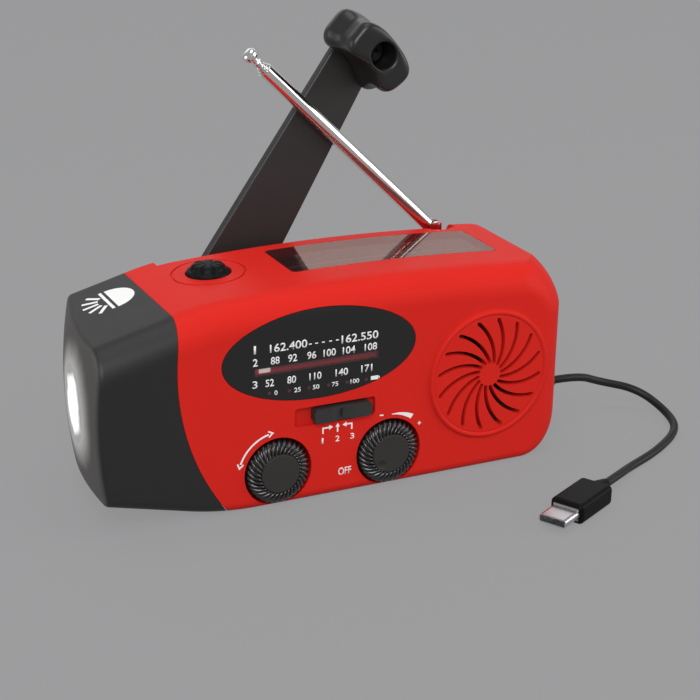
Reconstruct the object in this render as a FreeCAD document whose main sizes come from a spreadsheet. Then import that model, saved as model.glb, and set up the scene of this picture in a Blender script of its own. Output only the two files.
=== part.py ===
import FreeCAD, Part
import math
import os
import Sketcher
from FreeCAD import Placement, Rotation, Vector

# Hand-cranked weather radio with torch, solar window and telescopic aerial.
# Millimetres, +Z up, front face towards -Y, torch towards -X.
# The origin is on the flat underside, below the middle of the case.

doc = FreeCAD.newDocument("weather_radio")
sheet = doc.addObject("Spreadsheet::Sheet", "sizes")

SIZES = {
    # case
    "case_right": 69.6,
    "case_front": -22.5,
    "case_back": 25.0,
    "case_crown": 60.0,
    "crown_radius": 600.0,
    "crown_across": 8.0,
    "wall": 2.2,
    "corner_top": 8.5,
    "front_corner": 18.8,
    "front_corner_flat": 12.0,
    "front_corner_deep": 20.0,
    "edge_round_rear": 3.2,
    "park_left": 61.0,
    "park_front": 7.0,
    "park_low": 17.4,
    "park_high": 42.6,
    "park_round": 5.0,
    "corner_bottom": 13.0,
    "sweep_start": -25.5,
    "sweep_radius": 80.0,
    "sweep_slope": 14.0,
    "taper_start": -39.0,
    "taper_angle": 15.0,
    "taper_blend": 60.0,
    "edge_round": 8.0,
    "edge_round_low": 3.0,
    "nose_radius": 115.0,
    "nose_tip": -70.4,
    "nose_deep": -12.9,
    "nose_height": 30.0,
    "nose_rim": 2.0,
    "torch_deep": -0.5,
    "seam_radius": 68.0,
    "seam_across": 20.0,
    "seam_up": 42.0,
    "seam_gap": 0.12,
    "parting": 19.4,
    "fit_gap": 0.15,
    # dial
    "dial_across": -7.6,
    "dial_up": 42.5,
    "dial_half_width": 28.2,
    "dial_half_height": 12.6,
    "dial_thickness": 1.2,
    "scale_left": -26.6,
    "scale_right": 9.3,
    "scale_up": 39.8,
    "pointer_width": 3.1,
    "pointer_height": 1.8,
    "pointer_at": -23.1,
    # knobs
    "knob_radius": 9.4,
    "knob_face_radius": 5.5,
    "knob_proud": 1.9,
    "knob_sunk": 3.6,
    "knob_hole": 9.8,
    "knob_ribs": 34,
    "tuning_across": -19.9,
    "volume_across": 13.2,
    "knob_up": 10.4,
    "knob_shaft": 3.0,
    # band switch
    "band_left": -15.1,
    "band_right": 8.8,
    "band_low": 22.2,
    "band_high": 27.6,
    "slider_length": 17.0,
    "slider_height": 4.1,
    "slider_rest": 1.65,
    "slider_travel": 4.0,
    # speaker
    "speaker_across": 44.2,
    "speaker_up": 28.5,
    "ring_radius": 19.2,
    "ring_inner": 17.0,
    "ring_rise": 0.6,
    "bead_radius": 18.1,
    "bead_thickness": 0.8,
    "swirl_inner": 3.8,
    "swirl_middle": 9.5,
    "swirl_outer": 16.1,
    "swirl_lead": 17.0,
    "swirl_sweep": 33.0,
    "swirl_width": 1.1,
    "swirl_count": 16,
    # torch
    "lens_radius": 10.4,
    "lens_seat": 11.2,
    "button_across": -28.0,
    "button_deep": 6.5,
    "button_radius": 6.0,
    "button_ring": 10.3,
    # solar window
    "solar_left": -8.0,
    "solar_right": 55.3,
    "solar_front": -5.0,
    "solar_rear": 15.3,
    "solar_thickness": 1.2,
    # crank
    "hub_across": -27.3,
    "hub_up": 30.0,
    "hub_radius": 10.8,
    "arm_angle": 58.0,
    "arm_inner": 25.4,
    "arm_thickness": 3.0,
    "arm_length": 98.4,
    "arm_width_hub": 22.5,
    "arm_width_tip": 13.5,
    "arm_shift": 1.0,
    "hinge_pin": 1.1,
    "crank_shaft": 2.5,
    "grip_front": 8.0,
    "screw_well": 3.75,
    "screw_well_depth": 11.0,
    # gears
    "gear_module": 0.6,
    "drive_teeth": 60,
    "idler_small_teeth": 14,
    "idler_large_teeth": 48,
    "rotor_teeth": 12,
    "tuning_teeth": 20,
    "mesh_slack": 0.12,
    # aerial
    "aerial_across": 49.7,
    "aerial_deep": 22.6,
    "aerial_pivot": 57.0,
    "aerial_angle": 43.9,
    "aerial_post": 2.4,
    "aerial_tube": 2.1,
    "aerial_tube_end": 75.2,
    "aerial_step": 0.8,
    "aerial_tip": 82.8,
    # lead
    "lead_diameter": 2.4,
    "socket_up": 13.0,
    "socket_deep": -0.9,
    # boards and battery
    "board_thickness": 1.6,
    "board_width": 63.5,
    "board_height": 35.8,
    "board_across": -5.25,
    "board_up": 26.9,
    "board_deep": -9.5,
    "lamp_board_radius": 11.0,
    "battery_width": 48.0,
    "battery_height": 33.0,
    "battery_thickness": 6.0,
    "battery_across": 28.0,
    "battery_up": 27.0,
    "battery_deep": 16.4,
    "door_width": 52.0,
    "door_height": 37.5,
    "door_thickness": 1.6,
    # drives
    "generator_radius": 11.5,
    "generator_length": 14.4,
    "gear_plate_deep": 8.4,
    "gear_plate_thickness": 1.6,
    "idler_direction": -33.0,
    "rotor_direction": 100.0,
    "idler_axle": 1.0,
    "rotor_shaft": 0.9,
    "ferrite_radius": 3.5,
    "ferrite_length": 42.0,
    "switch_width": 7.6,
    "switch_height": 5.1,
}

for row, (alias, value) in enumerate(SIZES.items(), start=1):
    sheet.set("A%d" % row, alias)
    sheet.set("B%d" % row, str(value))
    sheet.setAlias("B%d" % row, alias)
doc.recompute()

ALONG_X = Vector(1, 0, 0)
ALONG_Y = Vector(0, 1, 0)
ALONG_Z = Vector(0, 0, 1)
HOME = Placement()
subparts = []


def size(alias):
    return float(sheet.get(alias))


def keep(thing, label):
    """Register a finished sub-part under the name of its file."""
    thing.Label = label
    subparts.append(thing)
    return thing


def shaped(label, shape):
    """A sub-part whose shape is worked out here from the sheet's sizes."""
    thing = doc.addObject("Part::Feature", label)
    thing.Shape = shape
    thing.Placement = HOME
    return keep(thing, label)


def toward(point, direction):
    """A placement that stands local Z along direction at point."""
    return Placement(point, Rotation(ALONG_Z, direction))


def origin_plane(body, role):
    for plane in body.Origin.OriginFeatures:
        if plane.Role == role:
            return plane
    raise ValueError(role)


def sketch_on(body, name, role="XY_Plane"):
    sketch = body.newObject("Sketcher::SketchObject", name)
    sketch.AttachmentSupport = [(origin_plane(body, role), "")]
    sketch.MapMode = "FlatFace"
    return sketch


def bound_circle(sketch, radius, across=0.0, up=0.0):
    """Add a circle whose radius follows an expression."""
    index = sketch.addGeometry(Part.Circle(Vector(across, up, 0), ALONG_Z, 1.0), False)
    if across or up:
        sketch.addConstraint(Sketcher.Constraint("DistanceX", -1, 1, index, 3, across))
        sketch.addConstraint(Sketcher.Constraint("DistanceY", -1, 1, index, 3, up))
    else:
        sketch.addConstraint(Sketcher.Constraint("Coincident", -1, 1, index, 3))
    rule = sketch.addConstraint(Sketcher.Constraint("Radius", index, 1.0))
    sketch.setExpression("Constraints[%d]" % rule, radius)


def bound_rectangle(sketch, width, height):
    """Add a centred rectangle whose width and height follow expressions."""
    corners = [Vector(-5, -5, 0), Vector(5, -5, 0), Vector(5, 5, 0), Vector(-5, 5, 0)]
    lines = []
    for start, end in zip(corners, corners[1:] + corners[:1]):
        lines.append(sketch.addGeometry(Part.LineSegment(start, end), False))
    for line, following in zip(lines, lines[1:] + lines[:1]):
        sketch.addConstraint(Sketcher.Constraint("Coincident", line, 2, following, 1))
    sketch.addConstraint(Sketcher.Constraint("Horizontal", lines[0]))
    sketch.addConstraint(Sketcher.Constraint("Vertical", lines[1]))
    sketch.addConstraint(Sketcher.Constraint("Horizontal", lines[2]))
    sketch.addConstraint(Sketcher.Constraint("Vertical", lines[3]))
    sketch.addConstraint(Sketcher.Constraint("Symmetric", lines[0], 1, lines[1], 2, -1, 1))
    wide = sketch.addConstraint(Sketcher.Constraint("DistanceX", lines[0], 1, lines[0], 2, 10.0))
    tall = sketch.addConstraint(Sketcher.Constraint("DistanceY", lines[1], 1, lines[1], 2, 10.0))
    sketch.setExpression("Constraints[%d]" % wide, width)
    sketch.setExpression("Constraints[%d]" % tall, height)


def pad(body, sketch, length):
    feature = body.newObject("PartDesign::Pad", sketch.Name + "_pad")
    feature.Profile = sketch
    feature.setExpression("Length", length)
    return feature


def disc_body(label, radius, length, placement, bore=None):
    """A round piece: a padded circle, with an optional bore."""
    body = doc.addObject("PartDesign::Body", label)
    sketch = sketch_on(body, label + "_outline")
    bound_circle(sketch, radius)
    if bore:
        bound_circle(sketch, bore)
    pad(body, sketch, length)
    body.Placement = placement
    return keep(body, label)


def plate_body(label, width, height, length, placement):
    """A rectangular plate or block: a padded rectangle."""
    body = doc.addObject("PartDesign::Body", label)
    sketch = sketch_on(body, label + "_outline")
    bound_rectangle(sketch, width, height)
    pad(body, sketch, length)
    body.Placement = placement
    return keep(body, label)


# Plain shapes that the shells and fittings are made from

def block(low, high):
    return Part.makeBox(high[0] - low[0], high[1] - low[1], high[2] - low[2], Vector(*low))


def rod(radius, start, end):
    axis = end - start
    return Part.makeCylinder(radius, axis.Length, start, axis)


def tube(outer, inner, start, end):
    return rod(outer, start, end).cut(rod(inner, start, end))


def settled(shape, placement):
    """The shape moved to a placement, with the move worked into its geometry."""
    return shape.transformed(placement.toMatrix(), True)


def turned(points, base=Vector(0, 0, 0), axis=ALONG_Z):
    """Spin an outline of (radius, height) points about an axis."""
    outline = [Vector(radius, 0, height) for radius, height in points]
    face = Part.Face(Part.makePolygon(outline + outline[:1]))
    solid = face.revolve(Vector(0, 0, 0), ALONG_Z, 360)
    return settled(solid, toward(base, axis))


def prism(points, depth):
    """Push a closed XZ outline of points along +Y from its own Y."""
    face = Part.Face(Part.makePolygon(points + points[:1]))
    return face.extrude(Vector(0, depth, 0))


def front_prism(wire, start, end):
    """Push an XZ wire drawn at Y = 0 between two depths."""
    face = Part.Face(wire)
    face.translate(Vector(0, start, 0))
    return face.extrude(Vector(0, end - start, 0))


def front_slot(left, right, low, high, radius, start, end):
    """A round-cornered rectangle in XZ, pushed along Y."""
    solid = block((left, start, low), (right, end, high))
    upright = [edge for edge in solid.Edges if abs(edge.tangentAt(edge.FirstParameter).y) > 0.9]
    return solid.makeFillet(radius, upright)


def top_slot(left, right, front, rear, radius, low, high):
    """A round-cornered rectangle in XY, pushed along Z."""
    solid = block((left, front, low), (right, rear, high))
    upright = [edge for edge in solid.Edges if abs(edge.tangentAt(edge.FirstParameter).z) > 0.9]
    return solid.makeFillet(radius, upright)


def in_xz(across, up, deep=0.0):
    return Vector(across, deep, up)


# Case form

def tangent_arc(center, radius, start_angle, end_angle):
    """An arc in XZ between two angles in degrees, by way of their middle."""
    points = []
    for angle in (start_angle, 0.5 * (start_angle + end_angle), end_angle):
        turn = math.radians(angle)
        points.append(in_xz(center[0] + radius * math.cos(turn), center[1] + radius * math.sin(turn)))
    return Part.Arc(*points).toShape()


def case_outline(inset):
    """The case seen from the front, every line drawn in by inset."""
    right = size("case_right")
    crown_r = size("crown_radius")
    crown_x = size("crown_across")
    crown_z = size("case_crown") - crown_r
    top_r = size("corner_top")
    low_r = size("corner_bottom")
    beyond = size("nose_tip") - 10.0
    sweep_x = size("sweep_start")
    sweep_r = size("sweep_radius")

    top_x = right - top_r
    top_z = crown_z + math.sqrt((crown_r - top_r) ** 2 - (top_x - crown_x) ** 2)
    crown_turn = math.degrees(math.atan2(top_z - crown_z, top_x - crown_x))

    taper = math.radians(size("taper_angle"))
    along = (-math.cos(taper), -math.sin(taper))
    inward = (math.sin(taper), -math.cos(taper))
    kink_x = size("taper_start")
    kink_z = crown_z + math.sqrt(crown_r ** 2 - (kink_x - crown_x) ** 2)
    blend_r = size("taper_blend")
    start_x = kink_x + blend_r * inward[0]
    start_z = kink_z + blend_r * inward[1]
    reach = crown_r - blend_r
    half_b = (start_x - crown_x) * along[0] + (start_z - crown_z) * along[1]
    rest = (start_x - crown_x) ** 2 + (start_z - crown_z) ** 2 - reach ** 2
    step = -half_b - math.sqrt(half_b ** 2 - rest)
    if abs(-half_b + math.sqrt(half_b ** 2 - rest)) < abs(step):
        step = -half_b + math.sqrt(half_b ** 2 - rest)
    blend_x = start_x + step * along[0]
    blend_z = start_z + step * along[1]
    blend_turn = math.degrees(math.atan2(blend_z - crown_z, blend_x - crown_x))
    line_turn = 90.0 + size("taper_angle")

    sweep_angle = size("sweep_slope")
    sweep = tangent_arc((sweep_x, sweep_r), sweep_r - inset, 270.0 - sweep_angle, 270.0)
    low_corner = tangent_arc((right - low_r, low_r), low_r - inset, 270.0, 360.0)
    high_corner = tangent_arc((top_x, top_z), top_r - inset, 0.0, crown_turn)
    crown = tangent_arc((crown_x, crown_z), crown_r - inset, crown_turn, blend_turn)
    blend = tangent_arc((blend_x, blend_z), blend_r - inset, blend_turn, line_turn)
    turn = math.radians(line_turn)
    line_x = blend_x + (blend_r - inset) * math.cos(turn)
    line_z = blend_z + (blend_r - inset) * math.sin(turn)
    end_z = line_z + (beyond - line_x) * math.tan(taper)
    arc_end = sweep.Vertexes[0].Point
    first = in_xz(beyond, arc_end.z + (arc_end.x - beyond) * math.tan(math.radians(sweep_angle)))
    rise = Part.LineSegment(first, arc_end).toShape()
    flat = Part.LineSegment(in_xz(sweep_x, inset), in_xz(right - low_r, inset)).toShape()
    side = Part.LineSegment(in_xz(right - inset, low_r), in_xz(right - inset, top_z)).toShape()
    slope = Part.LineSegment(in_xz(line_x, line_z), in_xz(beyond, end_z)).toShape()
    close = Part.LineSegment(in_xz(beyond, end_z), first).toShape()
    return Part.Wire([rise, sweep, flat, low_corner, side, high_corner, crown, blend, slope, close])


def rounded_edges(block_object, inset):
    """Radii for the front and back rims: small below and at the rear."""
    low = max(size("edge_round_low") - inset, 0.8)
    high = size("edge_round") - inset
    rear = max(size("edge_round_rear") - inset, 0.8)
    right = size("case_right")
    middle = size("nose_height")
    chosen = []
    for number, edge in enumerate(block_object.Shape.Edges, start=1):
        box = edge.BoundBox
        if box.YLength > 1e-6 or box.XMax < size("nose_tip") - 9.0:
            continue
        start = edge.valueAt(edge.FirstParameter)
        at_rear = start.y > 0
        if at_rear and box.XMax > right - inset - 0.1:
            chosen.append((number, rear, rear))
        elif at_rear and box.ZMin > middle:
            chosen.append((number, rear, rear))
        elif edge.Curve.TypeId == "Part::GeomCircle" and box.ZMax < middle and box.XMax > right - inset - 0.1:
            first, last = (low, high) if start.z < inset + 1.0 else (high, low)
            chosen.append((number, first, last))
        elif box.ZMax < middle:
            chosen.append((number, low, low))
        else:
            chosen.append((number, high, high))
    return chosen


def corner_trim(inset):
    """What is left away round the soft upper right corner of the front."""
    front = size("case_front") + inset
    deep = size("front_corner_deep") - inset
    flat = size("front_corner_flat")
    reach = size("front_corner") + 4.1 - flat - inset
    center = in_xz(size("case_right") - size("front_corner"), size("case_crown") - size("front_corner") - 1.9)
    middle = Vector(flat, front + deep, 0)
    oval = Part.Ellipse(middle - Vector(0, deep, 0), middle + Vector(reach, 0, 0), middle)
    bend = Part.ArcOfEllipse(oval, 0, 0.5 * math.pi).toShape()
    near = Vector(0, front, 0)
    edges = [Part.LineSegment(near, Vector(flat, front, 0)).toShape(), bend,
             Part.LineSegment(Vector(flat + reach, front + deep, 0), Vector(0, front + deep, 0)).toShape(),
             Part.LineSegment(Vector(0, front + deep, 0), near).toShape()]
    keep_solid = Part.Face(Part.Wire(edges)).revolve(Vector(0, 0, 0), Vector(0, 1, 0), 360)
    keep_solid.translate(center)
    corner = block((center.x, front - 1.0, center.z), (center.x + 40.0, front + deep, center.z + 40.0))
    return corner.cut(keep_solid)


def case_form(inset):
    """The whole outer form of the case, or the hollow a wall inside it."""
    raw = doc.addObject("Part::Feature", "form_blank")
    raw.Shape = front_prism(case_outline(inset), size("case_front") + inset, size("case_back") - inset)
    rounded = doc.addObject("Part::Fillet", "form_rounded")
    rounded.Base = raw
    rounded.Edges = rounded_edges(raw, inset)
    doc.recompute()
    shape = rounded.Shape.copy()
    center = Vector(size("nose_tip") + size("nose_radius"), size("nose_deep"), size("nose_height"))
    ball = Part.makeSphere(size("nose_radius") - inset, center)
    shape = shape.common(ball).cut(corner_trim(inset))
    doc.removeObject(rounded.Name)
    doc.removeObject(raw.Name)
    return shape.Solids[0]


FRONT = size("case_front")
BACK = size("case_back")
WALL = size("wall")
GAP = size("fit_gap")
PARTING = size("parting")
MIDDLE = size("torch_deep")
NOSE_UP = size("nose_height")
FAR = 200.0
HUB = in_xz(size("hub_across"), size("hub_up"))
NOSE_CENTER = Vector(size("nose_tip") + size("nose_radius"), size("nose_deep"), NOSE_UP)


def through(radius, across, up, start=-FAR, end=FAR):
    """A rod along Y at a place on the front face."""
    return rod(radius, in_xz(across, up, start), in_xz(across, up, end))


def seam_drum(radius):
    """The drum whose left side is the curved seam between torch and case."""
    return through(radius, size("seam_across"), size("seam_up"))


def park_room(grow):
    """The recess at the rear right end where the folded crank knob rests."""
    left = size("park_left") - grow
    room = block((left, size("park_front") - grow, size("park_low") - grow), (FAR, FAR, size("park_high") + grow))
    corners = []
    for edge in room.Edges:
        at = edge.valueAt(edge.FirstParameter)
        if abs(edge.tangentAt(edge.FirstParameter).y) > 0.9 and at.x < left + 1.0:
            corners.append(edge)
    return room.makeFillet(size("park_round") + grow, corners)


def rounded_nose(shape):
    """Round the rim where the domed torch end meets the sides."""
    rim = []
    for edge in shape.Edges:
        middle = edge.valueAt(0.5 * (edge.FirstParameter + edge.LastParameter))
        if abs(middle.distanceToPoint(NOSE_CENTER) - size("nose_radius")) < 1e-3:
            rim.append(edge)
    return shape.makeFillet(size("nose_rim"), rim)


def form_layer(start, end):
    """The layer of the case form between two depths below its surface."""
    return case_form(start).cut(case_form(end))


outer = rounded_nose(case_form(0.0))
inner = case_form(WALL)
body_form = outer.cut(park_room(0.0))
case_wall = body_form.cut(inner.cut(park_room(WALL)))
inside = case_form(WALL + GAP).cut(park_room(WALL + GAP))

# Case screws: across, up
SCREW_AT = [(-42.5, 50.0), (-30.0, 5.6), (12.0, 48.6), (48.0, 5.6)]
SCREW_PILLAR = 2.6
SCREW_HOLE = 0.9


# Torch

LAMP_AT = [(0.0, 4.6), (4.0, -2.3), (-4.0, -2.3)]
CUP_MOUTH = -65.2
CUP_FLOOR = -58.6
CUP_WEB = 0.8
LAMP_RADIUS = 1.5


def torch_head():
    """The dark end shell, with a seat behind the lens."""
    head = case_wall.cut(seam_drum(size("seam_radius") + size("seam_gap")))
    start = in_xz(-80.0, NOSE_UP, MIDDLE)
    end = in_xz(-60.0, NOSE_UP, MIDDLE)
    head = head.cut(rod(size("lens_radius") + GAP, start, end))
    seat_front = in_xz(-68.2, NOSE_UP, MIDDLE)
    seat_back = in_xz(CUP_MOUTH, NOSE_UP, MIDDLE)
    seat = tube(size("lens_seat") + 1.6, size("lens_radius") - 1.0, seat_front, seat_back)
    sleeve_back = in_xz(CUP_FLOOR, NOSE_UP, MIDDLE)
    sleeve = tube(size("lens_seat") + 1.6, size("lens_seat") + GAP, seat_back, sleeve_back)
    return head.fuse([seat.common(inner), sleeve])


def torch_lens():
    column = rod(size("lens_radius"), in_xz(-80.0, NOSE_UP, MIDDLE), in_xz(-60.0, NOSE_UP, MIDDLE))
    skin = Part.makeSphere(size("nose_radius") - 0.15, NOSE_CENTER)
    return skin.cut(Part.makeSphere(size("nose_radius") - 1.5, NOSE_CENTER)).common(column)


def torch_reflector():
    """A drum with three bright cups, one for each lamp."""
    solid = rod(size("lens_seat"), in_xz(CUP_MOUTH, NOSE_UP, MIDDLE),
                in_xz(CUP_FLOOR + CUP_WEB, NOSE_UP, MIDDLE))
    for deep, high in LAMP_AT:
        mouth = Vector(CUP_MOUTH, MIDDLE + deep, NOSE_UP + high)
        cup = Part.makeCone(4.2, 1.9, CUP_FLOOR - CUP_MOUTH, mouth, ALONG_X)
        hole = rod(LAMP_RADIUS + 0.25, mouth, mouth + Vector(20, 0, 0))
        solid = solid.cut(cup).cut(hole)
    return solid


def torch_lamps():
    """Three domed lamps, each standing in its cup."""
    lamps = []
    for deep, high in LAMP_AT:
        foot = Vector(CUP_FLOOR + CUP_WEB, MIDDLE + deep, NOSE_UP + high)
        top = foot + Vector(-3.4, 0, 0)
        lamp = rod(LAMP_RADIUS, foot, top).fuse(Part.makeSphere(LAMP_RADIUS, top))
        lamps.append(lamp.removeSplitter())
    return Part.makeCompound(lamps)


shaped("torch_head", torch_head())
shaped("torch_lens", torch_lens())
shaped("torch_reflector", torch_reflector())
shaped("torch_lamps", torch_lamps())
disc_body("torch_board", "sizes.lamp_board_radius", "sizes.board_thickness",
          toward(Vector(CUP_FLOOR + CUP_WEB, MIDDLE, NOSE_UP), ALONG_X))


# Front case

WELL_FLOOR = FRONT + 6.0
BACKING = FRONT + 3.8
CHANNEL_FLOOR = FRONT + 2.4
SLIDER_FLOOR = FRONT + 1.6
BRACKET = 45.4
LAMP_ROW = 33.2
LAMPS = [-22.5, -16.8, -11.0, -5.3, 0.2, 5.9]
SLIDER_AT = size("band_right") - size("slider_rest") - 0.5 * size("slider_length")
BAND_MIDDLE = 0.5 * (size("band_low") + size("band_high"))
BOARD_POSTS = [(-34.5, 42.0), (23.5, 42.0), (-34.8, 11.5), (24.2, 14.0)]


def ellipse_prism(grow, start, end):
    """The oval of the dial window, grown a little, pushed along Y."""
    center = in_xz(size("dial_across"), size("dial_up"))
    wide = center + Vector(size("dial_half_width") + grow, 0, 0)
    tall = center + Vector(0, 0, size("dial_half_height") + grow)
    edge = Part.Ellipse(wide, tall, center).toShape()
    return front_prism(Part.Wire([edge]), start, end)


def swirl_slots():
    """The curved slots of the speaker grille, one turned copy after another."""
    center = in_xz(size("speaker_across"), size("speaker_up"))
    bends = [(size("swirl_inner"), 72.0), (size("swirl_middle"), 72.0 + size("swirl_lead")),
             (size("swirl_outer"), 72.0 + size("swirl_sweep"))]
    points = []
    for reach, degrees in bends:
        turn = math.radians(degrees)
        points.append(center + Vector(reach * math.cos(turn), 0, reach * math.sin(turn)))
    middle_line = Part.Wire([Part.Arc(*points).toShape()])
    outline = middle_line.makeOffset2D(0.5 * size("swirl_width"), 0, False, False)
    slot = front_prism(outline, FRONT - 3.0, FRONT + WALL + 2.0)
    count = int(size("swirl_count"))
    slots = []
    for number in range(count):
        copy = slot.copy()
        copy.rotate(center, ALONG_Y, number * 360.0 / count)
        slots.append(copy)
    return slots


def front_case():
    """The red shell: front, top, bottom and right end, with all its openings."""
    shell = case_wall.common(seam_drum(size("seam_radius")))
    shell = shell.common(block((-FAR, -FAR, -FAR), (FAR, PARTING, FAR)))
    knobs = [size("tuning_across"), size("volume_across")]
    knob_up = size("knob_up")
    hole = size("knob_hole")

    added = []
    for across in knobs:
        added.append(through(hole + 1.4, across, knob_up, FRONT + 1.0, WELL_FLOOR).common(outer))
    added.append(block((-32.0, FRONT + 1.0, 36.3), (14.5, BACKING, 43.3)))
    added.append(block((-34.0, FRONT + 1.0, 44.2), (15.0, FRONT + 7.9, 45.8)))
    added.append(block((size("band_left") - 1.2, FRONT + 1.0, 21.0), (size("band_right") + 1.2, FRONT + 3.2, 28.8)))
    for across, up in SCREW_AT:
        added.append(through(SCREW_PILLAR, across, up, FRONT + 1.0, PARTING))
    button = Vector(size("button_across"), size("button_deep"), 0)
    collar = rod(size("button_radius") + 1.8, button + Vector(0, 0, 55.6), button + Vector(0, 0, 60.0))
    added.append(collar.common(case_form(1.0)))
    for left in (-37.0, -20.6):
        rib = block((left, 3.0, BRACKET), (left + 1.6, 8.0, 60.0))
        added.append(rib.common(case_form(1.0)))
    added.append(block((-37.0, 3.0, BRACKET), (-19.0, 8.0, BRACKET + 1.4)))
    for across, up in BOARD_POSTS:
        added.append(through(1.7, across, up, FRONT + 1.0, size("board_deep")))
    for across in (-26.2, 12.2):
        added.append(through(1.2, across, LAMP_ROW, FRONT + 1.0, FRONT + 4.5))
    added.append(block((57.5, -0.6, 1.0), (66.0, 3.4, 7.0)))
    face = in_xz(size("speaker_across"), size("speaker_up"), FRONT)
    added.append(Part.makeCone(size("ring_radius"), size("ring_inner"), size("ring_rise"), face, -ALONG_Y))
    added.append(Part.makeTorus(size("bead_radius"), size("bead_thickness"), face + Vector(0, -0.1, 0), ALONG_Y))
    added.append(through(size("ring_radius"), face.x, face.z, FRONT, FRONT + 1.5))
    added.append(tube(18.9, 18.2, face + Vector(0, WALL - 0.2, 0), face + Vector(0, WALL + 1.4, 0)))
    shell = shell.fuse(added)

    recess = size("dial_thickness") + 0.1
    cuts = [ellipse_prism(GAP, FRONT - 2.0, FRONT + recess)]
    cuts.append(block((size("scale_left") - 0.3, FRONT, size("scale_up") - 1.2),
                      (size("scale_right") + 0.3, CHANNEL_FLOOR, size("scale_up") + 1.2)))
    cuts.append(block((-25.5, FRONT, size("scale_up") - 0.7), (8.5, BACKING + 1.0, size("scale_up") + 0.7)))
    for across in LAMPS:
        cuts.append(through(1.0, across, LAMP_ROW, FRONT, FRONT + WALL + 1.0))
    for across in knobs:
        cuts.append(through(hole, across, knob_up, FRONT - 2.0, FRONT + 4.6))
        cuts.append(through(0.5 * size("knob_shaft") + 0.3, across, knob_up, FRONT, WELL_FLOOR + 1.0))
    cuts.append(front_slot(size("band_left"), size("band_right"), size("band_low"), size("band_high"), 0.9,
                           FRONT - 1.0, SLIDER_FLOOR))
    cuts.append(block((SLIDER_AT - size("slider_travel") - 1.8, FRONT, 24.0), (SLIDER_AT + 1.8, FRONT + 4.0, 25.8)))
    cuts.extend(swirl_slots())
    for across, up in SCREW_AT:
        cuts.append(through(SCREW_HOLE, across, up, PARTING - 10.0, PARTING + 1.0))
    cuts.append(rod(size("button_radius") + 0.35, button + Vector(0, 0, 50.0), button + Vector(0, 0, 70.0)))
    ring_high = button + Vector(0, 0, 70.0)
    ring = tube(size("button_ring"), size("button_ring") - 0.6, button + Vector(0, 0, 50.0), ring_high)
    cuts.append(ring.common(outer).cut(case_form(0.4)))
    window = top_slot(size("solar_left") - GAP, size("solar_right") + GAP, size("solar_front") - GAP,
                      size("solar_rear") + GAP, 1.6, 54.0, 70.0)
    cuts.append(window.cut(case_form(size("solar_thickness") + 0.1)))
    cuts.append(top_slot(size("solar_left") + 2.0, size("solar_right") - 2.0, size("solar_front") + 2.0,
                         size("solar_rear") - 2.0, 1.0, 54.0, 70.0))
    cuts.append(side_port(65.6, 72.0, 4.5, 1.9))
    cuts.append(rod(5.2, Vector(size("aerial_across"), size("aerial_deep"), 55.0),
                    Vector(size("aerial_across"), size("aerial_deep"), 70.0)))
    for cutter in cuts:
        shell = shell.cut(cutter)
    return shell


def side_port(start, end, half_height, half_depth):
    """A slot through the right end wall for the charging socket."""
    deep = size("socket_deep")
    up = size("socket_up")
    solid = block((start, deep - half_depth, up - half_height), (end, deep + half_depth, up + half_height))
    along = [edge for edge in solid.Edges if abs(edge.tangentAt(edge.FirstParameter).x) > 0.9]
    return solid.makeFillet(0.6, along)


shaped("front_case", front_case())


# Rear case

REBATE_FLOOR = 53.2
REBATE_END = -38.0
REBATE_RIGHT = 55.2
HUB_FLOOR = 20.4
GEAR_POSTS = [(-45.0, 41.0), (-36.0, 8.5), (0.0, 49.6), (4.5, 5.4)]
TRAY_WALL = 1.4


def battery_box(grow, start, end):
    """The room round the battery, grown all round, between two depths."""
    across = size("battery_across")
    up = size("battery_up")
    half_w = 0.5 * size("battery_width") + grow
    half_h = 0.5 * size("battery_height") + grow
    return block((across - half_w, start, up - half_h), (across + half_w, end, up + half_h))


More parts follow.
